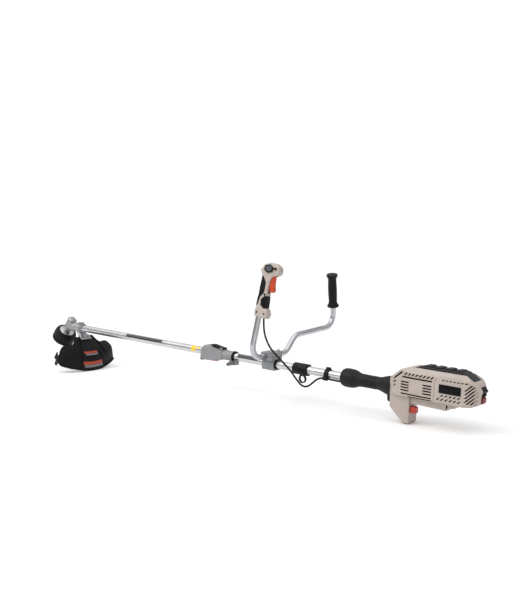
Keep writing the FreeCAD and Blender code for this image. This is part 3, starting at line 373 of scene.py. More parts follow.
BLACK = (0.006, 0.0058, 0.007)
GREY_PLASTIC = (0.44, 0.376, 0.335)
M = dict([
    drawn_metal("tube_aluminium", (0.60, 0.59, 0.61), 0.27, (6.0, 900.0, 900.0)),
    drawn_metal("handlebar_aluminium", (0.50, 0.50, 0.525), 0.25, (700.0, 700.0, 700.0)),
    cast_metal("cast_metal", (0.36, 0.36, 0.37), 0.42, 0.75),
    cast_metal("coupler_casting", (0.245, 0.25, 0.255), 0.5, 0.15),
    cast_metal("dark_casting", (0.11, 0.112, 0.115), 0.5, 0.15),
    turned_steel("steel", (0.45, 0.45, 0.46), 0.34),
    turned_steel("bright_steel", (0.52, 0.52, 0.53), 0.24),
    moulded("black_plastic", BLACK, 0.42, variation=0.2, specular=0.16),
    moulded("lid_black", (0.010, 0.0098, 0.0115), 0.38, variation=0.15, specular=0.28),
    moulded("plate_black", (0.0035, 0.0035, 0.004), 0.3, grain=0.000008, specular=0.12),
    moulded("gloss_black", (0.006, 0.006, 0.007), 0.2, grain=0.00001, coat=0.12, specular=0.25),
    moulded("grey_plastic", GREY_PLASTIC, 0.46, variation=0.05),
    moulded("orange_plastic", (0.50, 0.05, 0.006), 0.34, grain=0.00001, coat=0.15),
    moulded("dark_red", (0.17, 0.010, 0.008), 0.36, grain=0.00001, coat=0.1),
    moulded("red_plastic", (0.45, 0.026, 0.009), 0.34, grain=0.00001, coat=0.15),
    moulded("inner_nylon", (0.08, 0.08, 0.08), 0.45),
    moulded("trimmer_line", (0.60, 0.10, 0.02), 0.3, grain=0.00001),
    soft_rubber("rubber", (0.006, 0.006, 0.0068), 0.5),
    soft_rubber("neck_rubber", (0.0105, 0.010, 0.0115), 0.45),
    soft_rubber("cable_jacket", (0.010, 0.010, 0.011), 0.42),
    moulded("display", (0.075, 0.08, 0.09), 0.16, grain=0.000004, coat=0.3),
    turned_steel("black_oxide", (0.05, 0.05, 0.052), 0.4),
    moulded("circuit_board", (0.02, 0.12, 0.05), 0.4, grain=0.00001),
    cast_metal("motor_iron", (0.16, 0.13, 0.11), 0.55, 0.6),
    # Flat dead black that paints the shade inside slots, recesses and hollows.
    moulded("painted_shade", (0.006, 0.006, 0.006), 0.8, specular=0.1),
    printed("yellow_film", (0.78, 0.56, 0.03), 0.35),
    printed("black_film", (0.012, 0.012, 0.013), 0.35),
    printed("grey_film", (0.055, 0.055, 0.06), 0.35),
    printed("orange_film", (0.40, 0.05, 0.022), 0.4),
    printed("silver_film", (0.17, 0.17, 0.175), 0.4),
])


# ---- mesh tools ----
@contextmanager
def editing(mesh):
    """A mesh open for editing, which is written back at the end."""
    edit = bmesh.new()
    edit.from_mesh(mesh)
    yield edit
    edit.to_mesh(mesh)
    edit.free()


def new_object(name, verts, faces, place):
    mesh = bpy.data.meshes.new(name)
    mesh.from_pydata([place @ Vector(vert) for vert in verts], [], faces)
    mesh.validate()
    with editing(mesh) as edit:
        bmesh.ops.recalc_face_normals(edit, faces=edit.faces)
    return placed(name, mesh)


def lathe(name, profile, place, start=0.0, sweep=360.0, segments=72, wave=None):
    """Turns a closed (radius, height) outline about local Z; wave(angle, height) scales the radius."""
    whole = sweep >= 359.9
    columns = segments if whole else segments + 1
    verts = []
    for column in range(columns):
        angle = radians(start + sweep * column / segments)
        for radius, height in profile:
            reach = radius * (wave(angle, height) if wave else 1.0)
            verts.append((reach * cos(angle), reach * sin(angle), height))
    rows = len(profile)
    faces = []
    for column in range(segments):
        near = column * rows
        far = ((column + 1) % columns) * rows
        for row in range(rows):
            after = (row + 1) % rows
            faces.append((near + row, far + row, far + after, near + after))
    if not whole:
        faces.append(tuple(range(rows)))
        faces.append(tuple(range((columns - 1) * rows, columns * rows)))
    piece = new_object(name, verts, faces, place)
    weld(piece)
    return piece


FLAT_ANGLE = radians(0.6)


def weld(piece, distance=1e-6):
    with editing(piece.data) as edit:
        bmesh.ops.remove_doubles(edit, verts=edit.verts, dist=distance)
        bmesh.ops.dissolve_degenerate(edit, edges=edit.edges, dist=distance)
        bmesh.ops.recalc_face_normals(edit, faces=edit.faces)


def inset_outline(outline, distance):
    """Moves each corner of a closed outline inwards along its mitre."""
    area = sum(a[0] * b[1] - b[0] * a[1] for a, b in zip(outline, outline[1:] + outline[:1]))
    turn = 1.0 if area > 0 else -1.0
    moved = []
    for index, corner in enumerate(outline):
        corner = Vector(corner)
        before = (corner - Vector(outline[index - 1])).normalized()
        after = (Vector(outline[(index + 1) % len(outline)]) - corner).normalized()
        normal = Vector((-before.y - after.y, before.x + after.x)) * turn
        normal = normal.normalized()
        square = Vector((-before.y, before.x)) * turn
        moved.append(tuple(corner + normal * distance / max(0.45, normal.dot(square))))
    return moved


def rounded(outline, radius, steps=4):
    """Replaces each corner of a closed outline by an arc, smaller where its sides are short."""
    result = []
    for index, corner in enumerate(outline):
        corner = Vector(corner)
        before = Vector(outline[index - 1]) - corner
        after = Vector(outline[(index + 1) % len(outline)]) - corner
        half = before.angle(after) / 2
        reach = min(radius / tan(half), 0.45 * before.length, 0.45 * after.length)
        first = corner + before.normalized() * reach
        last = corner + after.normalized() * reach
        for step in range(steps + 1):
            t = step / steps
            point = first * (1 - t) ** 2 + corner * 2 * t * (1 - t) + last * t ** 2
            result.append(tuple(point))
    return result


TO_SIDE = Matrix(((1, 0, 0, 0), (0, 0, 1, 0), (0, 1, 0, 0), (0, 0, 0, 1)))
TO_PLAN = Matrix.Identity(4)
TO_SECTION = Matrix(((0, 0, 1, 0), (1, 0, 0, 0), (0, 1, 0, 0), (0, 0, 0, 1)))


def pillow(name, outline, low, high, place, low_round=0.0, high_round=0.0, steps=4, to=TO_SIDE):
    """A closed outline raised from low to high, with quarter-round edges at either end.

    With TO_SIDE the outline is (x, z) and it is raised along y."""
    levels = []
    if low_round:
        for step in range(steps):
            angle = radians(90 * step / steps)
            levels.append((low + low_round * (1 - cos(angle)), low_round * (1 - sin(angle))))
    levels.append((low + low_round, 0.0))
    levels.append((high - high_round, 0.0))
    if high_round:
        for step in range(1, steps + 1):
            angle = radians(90 * step / steps)
            levels.append((high - high_round * (1 - sin(angle)), high_round * (1 - cos(angle))))
    verts = []
    for height, inset in levels:
        ring = inset_outline(outline, inset) if inset else outline
        verts += [(a, b, height) for a, b in ring]
    count = len(outline)
    faces = [tuple(range(count)), tuple(range((len(levels) - 1) * count, len(levels) * count))]
    for level in range(len(levels) - 1):
        base = level * count
        for index in range(count):
            after = (index + 1) % count
            faces.append((base + index, base + after, base + count + after, base + count + index))
    return new_object(name, verts, faces, place @ to)


def span(side, inner, outer):
    """The range between two distances from the middle plane, on side -1 or 1 of it."""
    return sorted((side * inner, side * outer))


def oblong(x, z):
    """The outline of a rectangle between two ranges."""
    return [(x[0], z[0]), (x[1], z[0]), (x[1], z[1]), (x[0], z[1])]


def box(name, x, y, z, place):
    return pillow(name, oblong(x, z), y[0], y[1], place)


def rod(name, radius, low, high, place, segments=32):
    return lathe(name, [(0, low), (radius, low), (radius, high), (0, high)], place, segments=segments)


ARC_STEP = 6.0


def path_points(corners, radii):
    """Points along straight runs joined by arcs, in millimetres."""
    corners = [Vector(corner) for corner in corners]
    points = [corners[0]]
    for index in range(1, len(corners) - 1):
        corner = corners[index]
        before = (corners[index - 1] - corner).normalized()
        after = (corners[index + 1] - corner).normalized()
        half = before.angle(after) / 2
        radius = radii[index]
        centre = corner + (before + after).normalized() * radius / sin(half)
        start = corner + before * radius / tan(half)
        turn = pi - 2 * half
        axis = before.cross(after).normalized()
        count = max(6, int(turn * radius / ARC_STEP) + 4)
        for number in range(count + 1):
            spin = Matrix.Rotation(-turn * number / count, 3, axis)
            points.append(centre + spin @ (start - centre))
    points.append(corners[-1])
    return points


def swept_tube(name, points, outer, inner, place, sides=48):
    """A tube along the points with a wall between the two radii, open at both ends."""
    verts = []
    faces = []
    along = (points[1] - points[0]).normalized()
    normal = along.orthogonal().normalized()
    for index, point in enumerate(points):
        back = points[max(0, index - 1)]
        ahead = points[min(len(points) - 1, index + 1)]
        direction = (ahead - back).normalized()
        normal = (normal - direction * normal.dot(direction)).normalized()
        across = direction.cross(normal)
        for radius in (outer, inner):
            for side in range(sides):
                angle = 2 * pi * side / sides
                verts.append(point + normal * radius * cos(angle) + across * radius * sin(angle))
    ring = 2 * sides
    for index in range(len(points) - 1):
        for shell in (0, sides):
            for side in range(sides):
                a = index * ring + shell + side
                b = index * ring + shell + (side + 1) % sides
                faces.append((a, b, b + ring, a + ring))
    for base in (0, (len(points) - 1) * ring):
        for side in range(sides):
            after = (side + 1) % sides
            faces.append((base + side, base + after, base + sides + after, base + sides + side))
    return new_object(name, verts, faces, place)


def apply_modifiers(piece):
    depsgraph = bpy.context.evaluated_depsgraph_get()
    depsgraph.update()
    mesh = bpy.data.meshes.new_from_object(piece.evaluated_get(depsgraph))
    old = piece.data
    piece.modifiers.clear()
    piece.data = mesh
    mesh.name = piece.name
    bpy.data.meshes.remove(old)


def combine(name, pieces):
    """One object holding all the pieces' meshes, as separate solids."""
    edit = bmesh.new()
    for piece in pieces:
        edit.from_mesh(piece.data)
    mesh = bpy.data.meshes.new(name)
    edit.to_mesh(mesh)
    edit.free()
    for piece in pieces:
        bpy.data.objects.remove(piece)
    return placed(name, mesh)


def boolean(piece, tools, operation):
    tool = combine(piece.name + ".tool", tools)
    modifier = piece.modifiers.new("boolean", "BOOLEAN")
    modifier.operation = operation
    modifier.solver = "EXACT"
    modifier.use_self = operation == "UNION"
    modifier.object = tool
    apply_modifiers(piece)
    bpy.data.objects.remove(tool)
    return piece


def carve(piece, tools):
    return boolean(piece, tools, "DIFFERENCE")


def unite(piece, tools):
    return boolean(piece, tools, "UNION")


def melt(piece, voxel, rounds, factor=0.5):
    """Remeshes a piece at an even size in millimetres and smooths it into one soft form."""
    modifier = piece.modifiers.new("remesh", "REMESH")
    modifier.mode = "VOXEL"
    modifier.voxel_size = voxel * MM
    smooth = piece.modifiers.new("smooth", "SMOOTH")
    smooth.iterations = rounds
    smooth.factor = factor
    apply_modifiers(piece)
    return piece


def tidy_facets(piece):
    """Merges the flat triangles of a piece into whole faces, so that its edges can be rounded."""
    weld(piece, 2e-6)
    with editing(piece.data) as edit:
        bmesh.ops.dissolve_limit(edit, angle_limit=FLAT_ANGLE, verts=edit.verts, edges=edit.edges)


def soften(piece, width, segments=2, angle=28.0):
    """Rounds the edges of a piece by a width in millimetres."""
    bevel = piece.modifiers.new("bevel", "BEVEL")
    bevel.width = width * MM
    bevel.segments = segments
    bevel.limit_method = "ANGLE"
    bevel.angle_limit = radians(angle)
    bevel.miter_outer = "MITER_ARC"
    bevel.use_clamp_overlap = True
    apply_modifiers(piece)
    return piece


SHARP_ANGLE = radians(35.0)


def finish(piece, look, *nodes, body=POWERHEAD):
    """Shades a piece and gives it its look; it rides on the body of the nodes that it stands for, if any."""
    mesh = piece.data
    mesh.materials.clear()
    mesh.materials.append(M[look])
    for face in mesh.polygons:
        face.material_index = 0
    mesh.shade_smooth()
    mesh.set_sharp_from_angle(angle=SHARP_ANGLE)
    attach(piece, BODY_OF[nodes[0]] if nodes else body)
    if nodes:
        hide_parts(*nodes)


def node_copy(node):
    piece = placed(node + "_shape", NODES[node].data.copy())
    piece.data.transform(NODES[node].matrix_world)
    tidy_facets(piece)
    return piece


def softened(node, width, segments, look=None):
    """The node's own shape with rounded edges."""
    piece = soften(node_copy(node), width, segments)
    finish(piece, look or SLOT_OF[node], node)


# ---- shaft, decals and cutting head ----
TUBE_R = 13.0
ALONG_SHAFT = TOOL @ TO_SECTION


def make_tube_band(name, front, rear, low_angle, high_angle, look, body, rise=0.16):
    """Printed film on a tube; angles are measured from +Y over the top."""
    profile = [(TUBE_R + 0.02, front), (TUBE_R + rise, front), (TUBE_R + rise, rear), (TUBE_R + 0.02, rear)]
    steps = max(6, int((high_angle - low_angle) / 6))
    finish(lathe(name, profile, ALONG_SHAFT, low_angle, high_angle - low_angle, steps), look, body=body)


def make_decals():
    make_tube_band("lower_tube_strip", 276, 469, 116, 168, "black_film", LOWER_UNIT)
    for number in range(15):
        front = 287 + number * 12.2
        name = "strip_mark_%d" % number
        make_tube_band(name, front, front + 4.0, 131, 151, "silver_film", LOWER_UNIT, 0.24)
    make_tube_band("lower_tube_label", 619, 640, 105, 200, "yellow_film", LOWER_UNIT)
    make_tube_band("lower_tube_label_end", 644, 658, 112, 150, "yellow_film", LOWER_UNIT)
    make_tube_band("upper_tube_strip", 834, 921, 116, 172, "grey_film", POWERHEAD)


def ribbed(count, depth, low, high):
    """A wave for lathe(): shallow ribs round the wall between two heights."""
    def wave(angle, height):
        if low < height < high:
            return 1.0 + depth * (0.5 + 0.5 * cos(count * angle)) ** 3
        return 1.0
    return wave


def make_cutting_head():
    outer = [(5, -28), (36, -28), (38.5, -28.8), (40.4, -30.6), (41, -33), (41, -35.5)]
    for rib in range(3):
        base = -36 - rib * 9
        outer += [(42.3, base - 0.6), (42.6, base - 1.6), (42.6, base - 5.4), (42.3, base - 6.4),
                  (40.8, base - 7)]
    outer += [(41, -64), (43.2, -65), (44, -66.5), (44, -71.5), (43.2, -73.2), (41.5, -74)]
    inner = [(27, -74), (27, -71.5), (38.5, -71.5), (38.5, -33), (12, -33), (12, -44), (5, -44)]
    drum = lathe("drum_shell", outer + inner, HEAD, segments=144, wave=ribbed(18, 0.022, -65.5, -34))
    finish(drum, "black_plastic", "drum")
    disc = lathe("drive_flange", [(5, -22.4), (11, -22.4), (13, -23.2), (24, -24.2), (27.6, -25), (29, -26),
                                  (29, -27.2), (28, -27.6), (5, -27.6)], HEAD, segments=96)
    finish(disc, "bright_steel", "flange_washer")
    knob_side = [(0, -88), (7, -87.8), (12.5, -86.9), (17, -85.4), (20.5, -83), (22.6, -80), (23.6, -76),
                 (24, -70.4), (0, -70.4)]
    knob = lathe("bump_knob_shell", knob_side, HEAD, segments=96, wave=ribbed(12, -0.05, -86, -72))
    finish(knob, "black_plastic", "bump_knob")


# ---- gear case and guard ----
LUG_CIRCLE_R = 14.8


def make_gear_case():
    softened("gear_case", 1.1, 3)
    softened("guard_bracket", 1.2, 3)
    dome = [(0, 29.6), (18.2, 29.6), (18.2, 31.2), (17.4, 33), (15.8, 35.8), (13.4, 38.2), (10.4, 39.9),
            (6.5, 40.8), (0, 41)]
    lug = [(0, 29.7), (3.7, 29.7), (3.7, 35.4), (3.2, 36.2), (0, 36.2)]
    screw = [(0, 36), (2.4, 36), (2.4, 37.8), (2, 38.2), (1.2, 38.2), (1.2, 37), (0, 37)]
    cap = lathe("gear_case_dome", dome, HEAD, segments=96)
    lugs = []
    screws = []
    for angle in (45, 135, 225, 315):
        turn = radians(angle)
        place = HEAD @ Matrix.Translation((LUG_CIRCLE_R * cos(turn), LUG_CIRCLE_R * sin(turn), 0))
        lugs.append(lathe("lug", lug, place, segments=32))
        screws.append(lathe("screw", screw, place, segments=24))
    unite(cap, lugs)
    finish(cap, "cast_metal", "gear_case_cap")
    band = lathe("gear_case_seam", [(17, 28.9), (18.5, 28.9), (18.5, 30.1), (17, 30.1)], HEAD, segments=96)
    finish(band, "gloss_black", body=LOWER_UNIT)
    finish(combine("cap_screws", screws), "steel", body=LOWER_UNIT)


SHEET = [(96, 27), (150, 17), (186, 0), (217, -36)]
RAMP_LIFT = 5.0
RAMP_HALF_ANGLE = 14.0
BEAD_AT, BEAD_R = (219.4, -32.6), 2.5
BEAD_HALF_ANGLE = 36.3
FILM_LIFTS = (RAMP_LIFT - 0.3, RAMP_LIFT + 0.35)


def on_sheet(distance, lift):
    """(radius, height) on the guard's outer profile, at a share of its length from the inner edge."""
    lengths = [dist(a, b) for a, b in zip(SHEET, SHEET[1:])]
    left = distance * sum(lengths)
    for (a, b), length in zip(zip(SHEET, SHEET[1:]), lengths):
        if left <= length + 1e-6:
            share = left / length
            along = ((b[0] - a[0]) / length, (b[1] - a[1]) / length)
            point = (a[0] + (b[0] - a[0]) * share, a[1] + (b[1] - a[1]) * share)
            return (point[0] - along[1] * lift, point[1] + along[0] * lift)
        left -= length
    return SHEET[-1]


def sheet_strip(name, from_share, to_share, from_angle, to_angle, low, high, steps=10):
    """A patch on the guard's outer face between two lifts above it."""
    shares = [from_share + (to_share - from_share) * step / steps for step in range(steps + 1)]
    top = [on_sheet(share, high) for share in shares]
    under = [on_sheet(share, low) for share in reversed(shares)]
    sweep = to_angle - from_angle
    return lathe(name, top + under, HEAD, from_angle, sweep, max(4, int(sweep / 1.5)))


def make_guard():
    softened("guard", 1.6, 3)
    turns = [radians(angle) for angle in range(0, 360, 30)]
    bead = [(BEAD_AT[0] + BEAD_R * cos(turn), BEAD_AT[1] + BEAD_R * sin(turn)) for turn in turns]
    rim = lathe("guard_rim_bead", bead, HEAD, -BEAD_HALF_ANGLE, 2 * BEAD_HALF_ANGLE, 60)
    finish(rim, "black_plastic", body=LOWER_UNIT)
    ribs = []
    for middle in (-24.6, 24.6):
        ribs.append(sheet_strip("rib", 0.03, 0.66, middle - 0.8, middle + 0.8, -1.0, 3.2))
    for middle in (-RAMP_HALF_ANGLE - 2.2, RAMP_HALF_ANGLE + 2.2):
        ribs.append(sheet_strip("rib", 0.1, 0.97, middle - 0.5, middle + 0.5, -1.0, 2.2))
    ribs = [soften(rib, 0.7) for rib in ribs]
    finish(combine("guard_ribs", ribs), "black_plastic", body=LOWER_UNIT)
    films = (("upper", 0.49, 0.55, 0.605, -11.5, 9.0), ("lower", 0.77, 0.855, 0.93, -12.8, 13.2))
    for name, start, middle, end, low_angle, high_angle in films:
        strip = sheet_strip(name + "_film", start, middle, low_angle, high_angle, *FILM_LIFTS)
        finish(strip, "orange_film", body=LOWER_UNIT)
        middle += 0.006
        strip = sheet_strip(name + "_film_pale", middle, end, low_angle + 2.0, high_angle, *FILM_LIFTS)
        finish(strip, "silver_film", body=LOWER_UNIT)


# ---- coupler, clamps and handlebar ----
def make_coupler():
    softened("coupler_body", 1.6, 3)
    softened("coupler_lock", 1.3, 3)
    softened("coupler_knob", 1.4, 3, "dark_casting")
    ring = [(13.2, 811.5), (18, 811.5), (18.4, 812.5), (18.4, 816), (17.8, 817), (13.2, 817)]
    finish(lathe("coupler_rear_ring", ring, ALONG_SHAFT), "rubber")
    stop = pillow("coupler_front_stop", oblong((669.5, 679), (-28, -12)), -18, -5, TOOL, 1.5, 1.5)
    finish(stop, "black_plastic")
    tab = [(708, -27.5), (738, -25), (736, -20), (708, -22)]
    finish(pillow("coupler_release_tab", tab, -9, 9, TOOL, 1.8, 1.8), "red_plastic")


def make_clamps():
    softened("handle_clamp_lower", 1.3, 3)
    softened("handle_clamp_cap", 1.3, 3)
    softened("hanger_clamp", 1.2, 3)
    softened("cable_clip", 0.9, 2)
    softened("handle_clamp_sleeve", 0.7, 2)


def make_handlebar():
    corners = [NEAR_CORNER + NEAR_LEAN * NEAR_BAR_END, NEAR_CORNER, (BAR_X, 80, BAR_Z), (BAR_X, 129, 79),
               FAR_CORNER, FAR_CORNER + FAR_LEAN * FAR_BAR_END]
    bar = swept_tube("handlebar_tube", path_points(corners, BAR_BENDS), BAR_R, BAR_BORE_R, TOOL)
    finish(bar, "handlebar_aluminium", "handlebar")


def make_rubber_grip():
    length = FAR_GRIP_LENGTH
    inner = BAR_R + 0.05
    outer = [(19.8, 0), (20.5, 1), (20.5, 3.4), (19.5, 5.2), (17.2, 8.4), (15.6, 12), (14.7, 17), (14.5, 22)]
    for step in range(1, 12):
        share = step / 12
        outer.append((14.5 + 1.1 * sin(pi * share) - 0.3 * share, 22 + (length - 40) * share))
    outer += [(14.3, length - 17), (15.2, length - 12), (17.2, length - 7), (19, length - 4.8),
              (19.5, length - 3), (19.5, length + 0.8), (18.6, length + 2), (15, length + 2.5),
              (0, length + 2.5), (0, length)]
    profile = [(inner, 0)] + outer + [(inner, length)]

    def flutes(angle, height):
        middle = max(0.0, sin(pi * (height - 12) / (length - 26))) if 12 < height < length - 14 else 0.0
        return 1.0 - 0.035 * middle * (0.5 + 0.5 * cos(16 * angle)) ** 2
    grip = lathe("rubber_grip_sleeve", profile, FAR_GRIP, segments=160, wave=flutes)
    finish(grip, "rubber", "rubber_grip")


# ---- throttle grip ----
GRIP_OUTLINE = [
    (-13, 0), (-15, 20), (-12.6, 30), (-12.4, 60), (-10.8, 72), (-10.5, 100), (-11, 126), (-18, 139),
    (-19, 150), (-12, 165), (8, 174), (32, 174), (48, 167), (54, 154), (52, 142), (42, 136), (28, 131),
    (22.5, 116), (21.5, 84), (23, 62), (25, 34), (36, 27), (38, 6), (35, 0),
]
GRIP_HALF, GRIP_EDGE_ROUND = 12.8, 6.2
DISPLAY_X, DISPLAY_Z = 16.0, 154.5
MODE_X, MODE_Z = 39.0, 157.0
CRUISE_Z = 147.0
HALF_SPACE, HALF_GAP = 400.0, 0.1


def across_grip(x, z):
    """A frame at a point of the grip's side view, with Z across the grip."""
    return GRIP @ Matrix.Translation((x, 0, z)) @ TO_SIDE


def grip_blank():
    outline = rounded(GRIP_OUTLINE, 6.0, 3)
    blank = pillow("grip_blank", outline, -GRIP_HALF, GRIP_HALF, GRIP, GRIP_EDGE_ROUND, GRIP_EDGE_ROUND, 5)
    crown = [(0, 16.8), (14, 16.5), (17.5, 15.4), (20, 13), (22, 9), (0, 9)]
    collar = [(0, 14.2), (9, 14), (10.6, 13), (11.6, 11), (11.6, 5), (0, 5)]
    extras = []
    for side in (-1, 1):
        for profile, x, z in ((crown, 19, 153), (collar, 26, 15), (collar, -3, 13)):
            turned = [(radius, side * height) for radius, height in profile]
            extras.append(lathe("boss", turned, across_grip(x, z), segments=48))
    unite(blank, extras)
    return melt(blank, 1.0, 10, 0.6)


GRIP_SCREWS = [(28, 14), (15.5, 73.5), (-3, 15)]
CRUISE_PLACE = GRIP @ Matrix.Translation((0, 0, CRUISE_Z)) @ TO_SECTION


def screw_seats(places):
    return [rod("way", 3.3, side * 11, side * 30, across_grip(x, z)) for x, z in places for side in (-1, 1)]


def grip_ways():
    """What is cut from the grip: slots, the bar's bore, the lead's hole and the seats of small parts."""
    return screw_seats(GRIP_SCREWS) + [
        box("way", (14, 70), (-6.6, 6.6), (78, 137.5), GRIP),
        box("way", (-30, 2), (-6.6, 6.6), (63, 130), GRIP),
        rod("way", BAR_R + 0.1, -6, 58, GRIP, 48),
        rod("way", LEAD_R + 1.6, -6, 12, GRIP @ Matrix.Translation((21.5, 0, 0))),
        rod("way", 4.9, -40, -8, CRUISE_PLACE),
        rod("way", 3.6, -30, -11, across_grip(MODE_X, MODE_Z)),
    ]


def split_halves(piece, names, place):
    """Cuts a piece on the plane Y = 0 of a frame into a near and a far half."""
    halves = []
    for name, side in zip(names, (-1, 1)):
        half = placed(name, piece.data.copy())
        keep = box("keep", (-3000, 3000), span(side, HALF_GAP, HALF_SPACE), (-HALF_SPACE, HALF_SPACE), place)
        halves.append(boolean(half, [keep], "INTERSECT"))
    bpy.data.objects.remove(piece)
    return halves


def inflated(piece, distance):
    """A copy of a piece, moved out along its normals."""
    copy = placed("inflated", piece.data.copy())
    normals = [vertex.normal.copy() for vertex in copy.data.vertices]
    for vertex, normal in zip(copy.data.vertices, normals):
        vertex.co += normal * distance * MM
    return copy


FRONT_PAD = [(-24, 129), (-3, 129), (11, 111), (12, 92), (10.5, 77), (0, 65), (-4.5, 42), (-7, 36), (-24, 36)]
LOWER_PAD = [(5, 56), (8, 61), (16, 69), (40, 72), (40, 32), (18, 31), (6.5, 45)]


def both_faces(outline):
    """A prism on each side of the grip, clear of the slots along its middle."""
    return [pillow("keep", outline, *span(side, 7.0, 40.0), GRIP) for side in (-1, 1)]


def make_grip_pads(blank):
    """Soft pads that follow the grip's own surface, with slanted ribs on the lower ones."""
    keep = both_faces(rounded(FRONT_PAD, 3)) + both_faces(rounded(LOWER_PAD, 3))
    keep.append(pillow("keep", [(12.5, 33), (40, 33), (40, 71), (20, 70), (12.5, 66)], -8, 8, GRIP))
    keep.append(pillow("keep", [(-24, 37), (-10.4, 37), (-10.4, 62), (-24, 62)], -8, 8, GRIP))
    keep = unite(keep[0], keep[1:])
    pads = boolean(inflated(blank, 0.8), [keep], "INTERSECT")
    bars = []
    for number in range(6):
        x = 7.0 + number * 4.2
        bars += both_faces([(x, 37), (x + 1.7, 37), (x + 6.2, 62), (x + 4.5, 62)])
    ribs = boolean(inflated(blank, 1.5), [combine("keep", bars)], "INTERSECT")
    pads = carve(combine("grip_pads", [pads, ribs]), screw_seats(GRIP_SCREWS[1:2]))
    finish(pads, "rubber", "throttle_inserts")


def make_throttle_grip():
    blank = grip_blank()
    make_grip_pads(blank)
    near, far = split_halves(carve(blank, grip_ways()), ("grip_shell_near", "grip_shell_far"), GRIP)
    place = across_grip(*GRIP_SCREWS[2])
    plugs = [rod("plug", 3.1, side * 11.2, side * 13.2, place, 72) for side in (-1, 1)]
    finish(combine("grip_plugs", plugs), "gloss_black")
    finish(near, "grey_plastic", "throttle_shell_near")
    finish(far, "grey_plastic", "throttle_shell_far")


def make_grip_controls():
    blade = rounded([(20.5, 134), (20, 143), (27, 148), (33, 147), (36, 141), (36.3, 133), (36.8, 120),
                     (38.6, 106), (43.3, 91.5), (42, 86.5), (38, 83.6), (27, 83.5), (20.5, 98)], 2.5)
    finish(pillow("trigger_blade", blade, -6, 6, GRIP, 2.8, 2.8, 5), "orange_plastic", "trigger")
    lever = rounded([(-12.5, 66), (-15.5, 72), (-16.5, 96), (-15.5, 118), (-12, 129), (-6, 128), (-5, 80),
                     (0, 72), (-1, 65)], 2.5)
    lever = pillow("lockout_blade", lever, -6, 6, GRIP, 2.6, 2.6, 4)
    finish(lever, "black_plastic", "lockout_lever")
    turns = [radians(60 * number + 20) for number in range(6)]
    corners = [(DISPLAY_X + 19.6 * cos(turn), DISPLAY_Z + 14.4 * sin(turn)) for turn in turns]
    bezel = pillow("display_bezel", rounded(corners, 2.5), -20.4, -13, GRIP, 1.4, 0, 3)
    window = [(DISPLAY_X + (x - DISPLAY_X) * 0.68, DISPLAY_Z + (z - DISPLAY_Z) * 0.68) for x, z in corners]
    carve(bezel, [pillow("way", window, -30, -19.6, GRIP)])
    finish(bezel, "gloss_black", "display_unit")
    glass = pillow("display_window", inset_outline(rounded(window, 1.0), 0.1), -20.0, -19.5, GRIP)
    finish(glass, "display")
    cap = lathe("mode_button_cap", [(0, -11), (3.2, -11), (3.2, -18), (2.6, -18.8), (0, -19.1)],
                across_grip(MODE_X, MODE_Z), segments=40)
    finish(cap, "black_plastic", "mode_button")
    cap = lathe("cruise_button_cap", [(0, -13), (4.5, -13), (4.5, -24), (3.6, -25.2), (0, -25.6)],
                CRUISE_PLACE, segments=40)
    finish(cap, "black_plastic", "cruise_button")


# ---- powerhead ----
SIDE_OUTLINE = [
    (1425, -16), (1425, 30), (1462, 60), (1490, 69), (1656, 69), (1686, 50), (1700, 31), (1694, 20),
    (1693, -5), (1677, -12), (1655, -16),
]
PLAN_HALF = [(1425, 25), (1440, 30), (1480, 36), (1505, 38), (1657, 38), (1678, 33), (1700, 13)]
SECTION_HALF = [(33, -16), (38, -10), (38, 53), (27, 69)]
PLAN_OUTLINE = PLAN_HALF + [(x, -y) for x, y in reversed(PLAN_HALF)]
SECTION_OUTLINE = SECTION_HALF + [(-y, z) for y, z in reversed(SECTION_HALF)]
FOOT_OUTLINE = [(1426, -10), (1426, -54), (1471, -93), (1487, -93), (1487, -10)]
FOOT_HALF = 24.0
WALL = 3.0


def body_form(inset):
    """The housing's outer form, moved in by an inset, or out by a negative one."""
    side = pillow("body", inset_outline(SIDE_OUTLINE, inset), -60, 60, TOOL)
    plan = pillow("plan", inset_outline(PLAN_OUTLINE, inset), -80, 120, TOOL, to=TO_PLAN)
    section = pillow("section", inset_outline(SECTION_OUTLINE, inset), 1380, 1740, TOOL, to=TO_SECTION)
    return boolean(boolean(side, [plan], "INTERSECT"), [section], "INTERSECT")


def foot_form(inset):
    return pillow("foot", inset_outline(FOOT_OUTLINE, inset), -FOOT_HALF + inset, FOOT_HALF - inset, TOOL)


def slanted(x, z, length, width=5.4):
    """A stroke at 45 degrees that starts at (x, z)."""
    rise = length * sqrt(0.5)
    return [(x, z), (x + width, z), (x + width + rise, z + rise), (x + rise, z + rise)]


def hatch_strokes():
    """Long strokes that fill the slanted end of the panel, each cut off where the panel's border runs."""
    strokes = []
    for number in range(8):
        start = 1621.0 + number * 10.0
        low = max(-5.0, 1655.0 - start - 4.0)
        high = min(47.0, 1690.0 - start - 5.0 + (4.0 if number < 4 else 0.0))
        if high - low > 6:
            strokes.append(slanted(start + low + 6.0, low, (high - low) * sqrt(2)))
    return strokes


def panel_strokes():
    strokes = hatch_strokes()
    strokes += [[(x, 48), (x + 7, 48), (x + 8, 51.4), (x + 1, 51.4)] for x in range(1592, 1660, 11)]
    strokes += [slanted(1588 + 12.3 * n, 4.4, 8.6, 5.6) for n in range(5)]
    strokes += [slanted(1576 + 12.3 * n, -6.6, 9.8, 5.6) for n in range(6)]
    return strokes


def level(front, rear, z, height):
    return oblong((front, rear), (z - height / 2, z + height / 2))


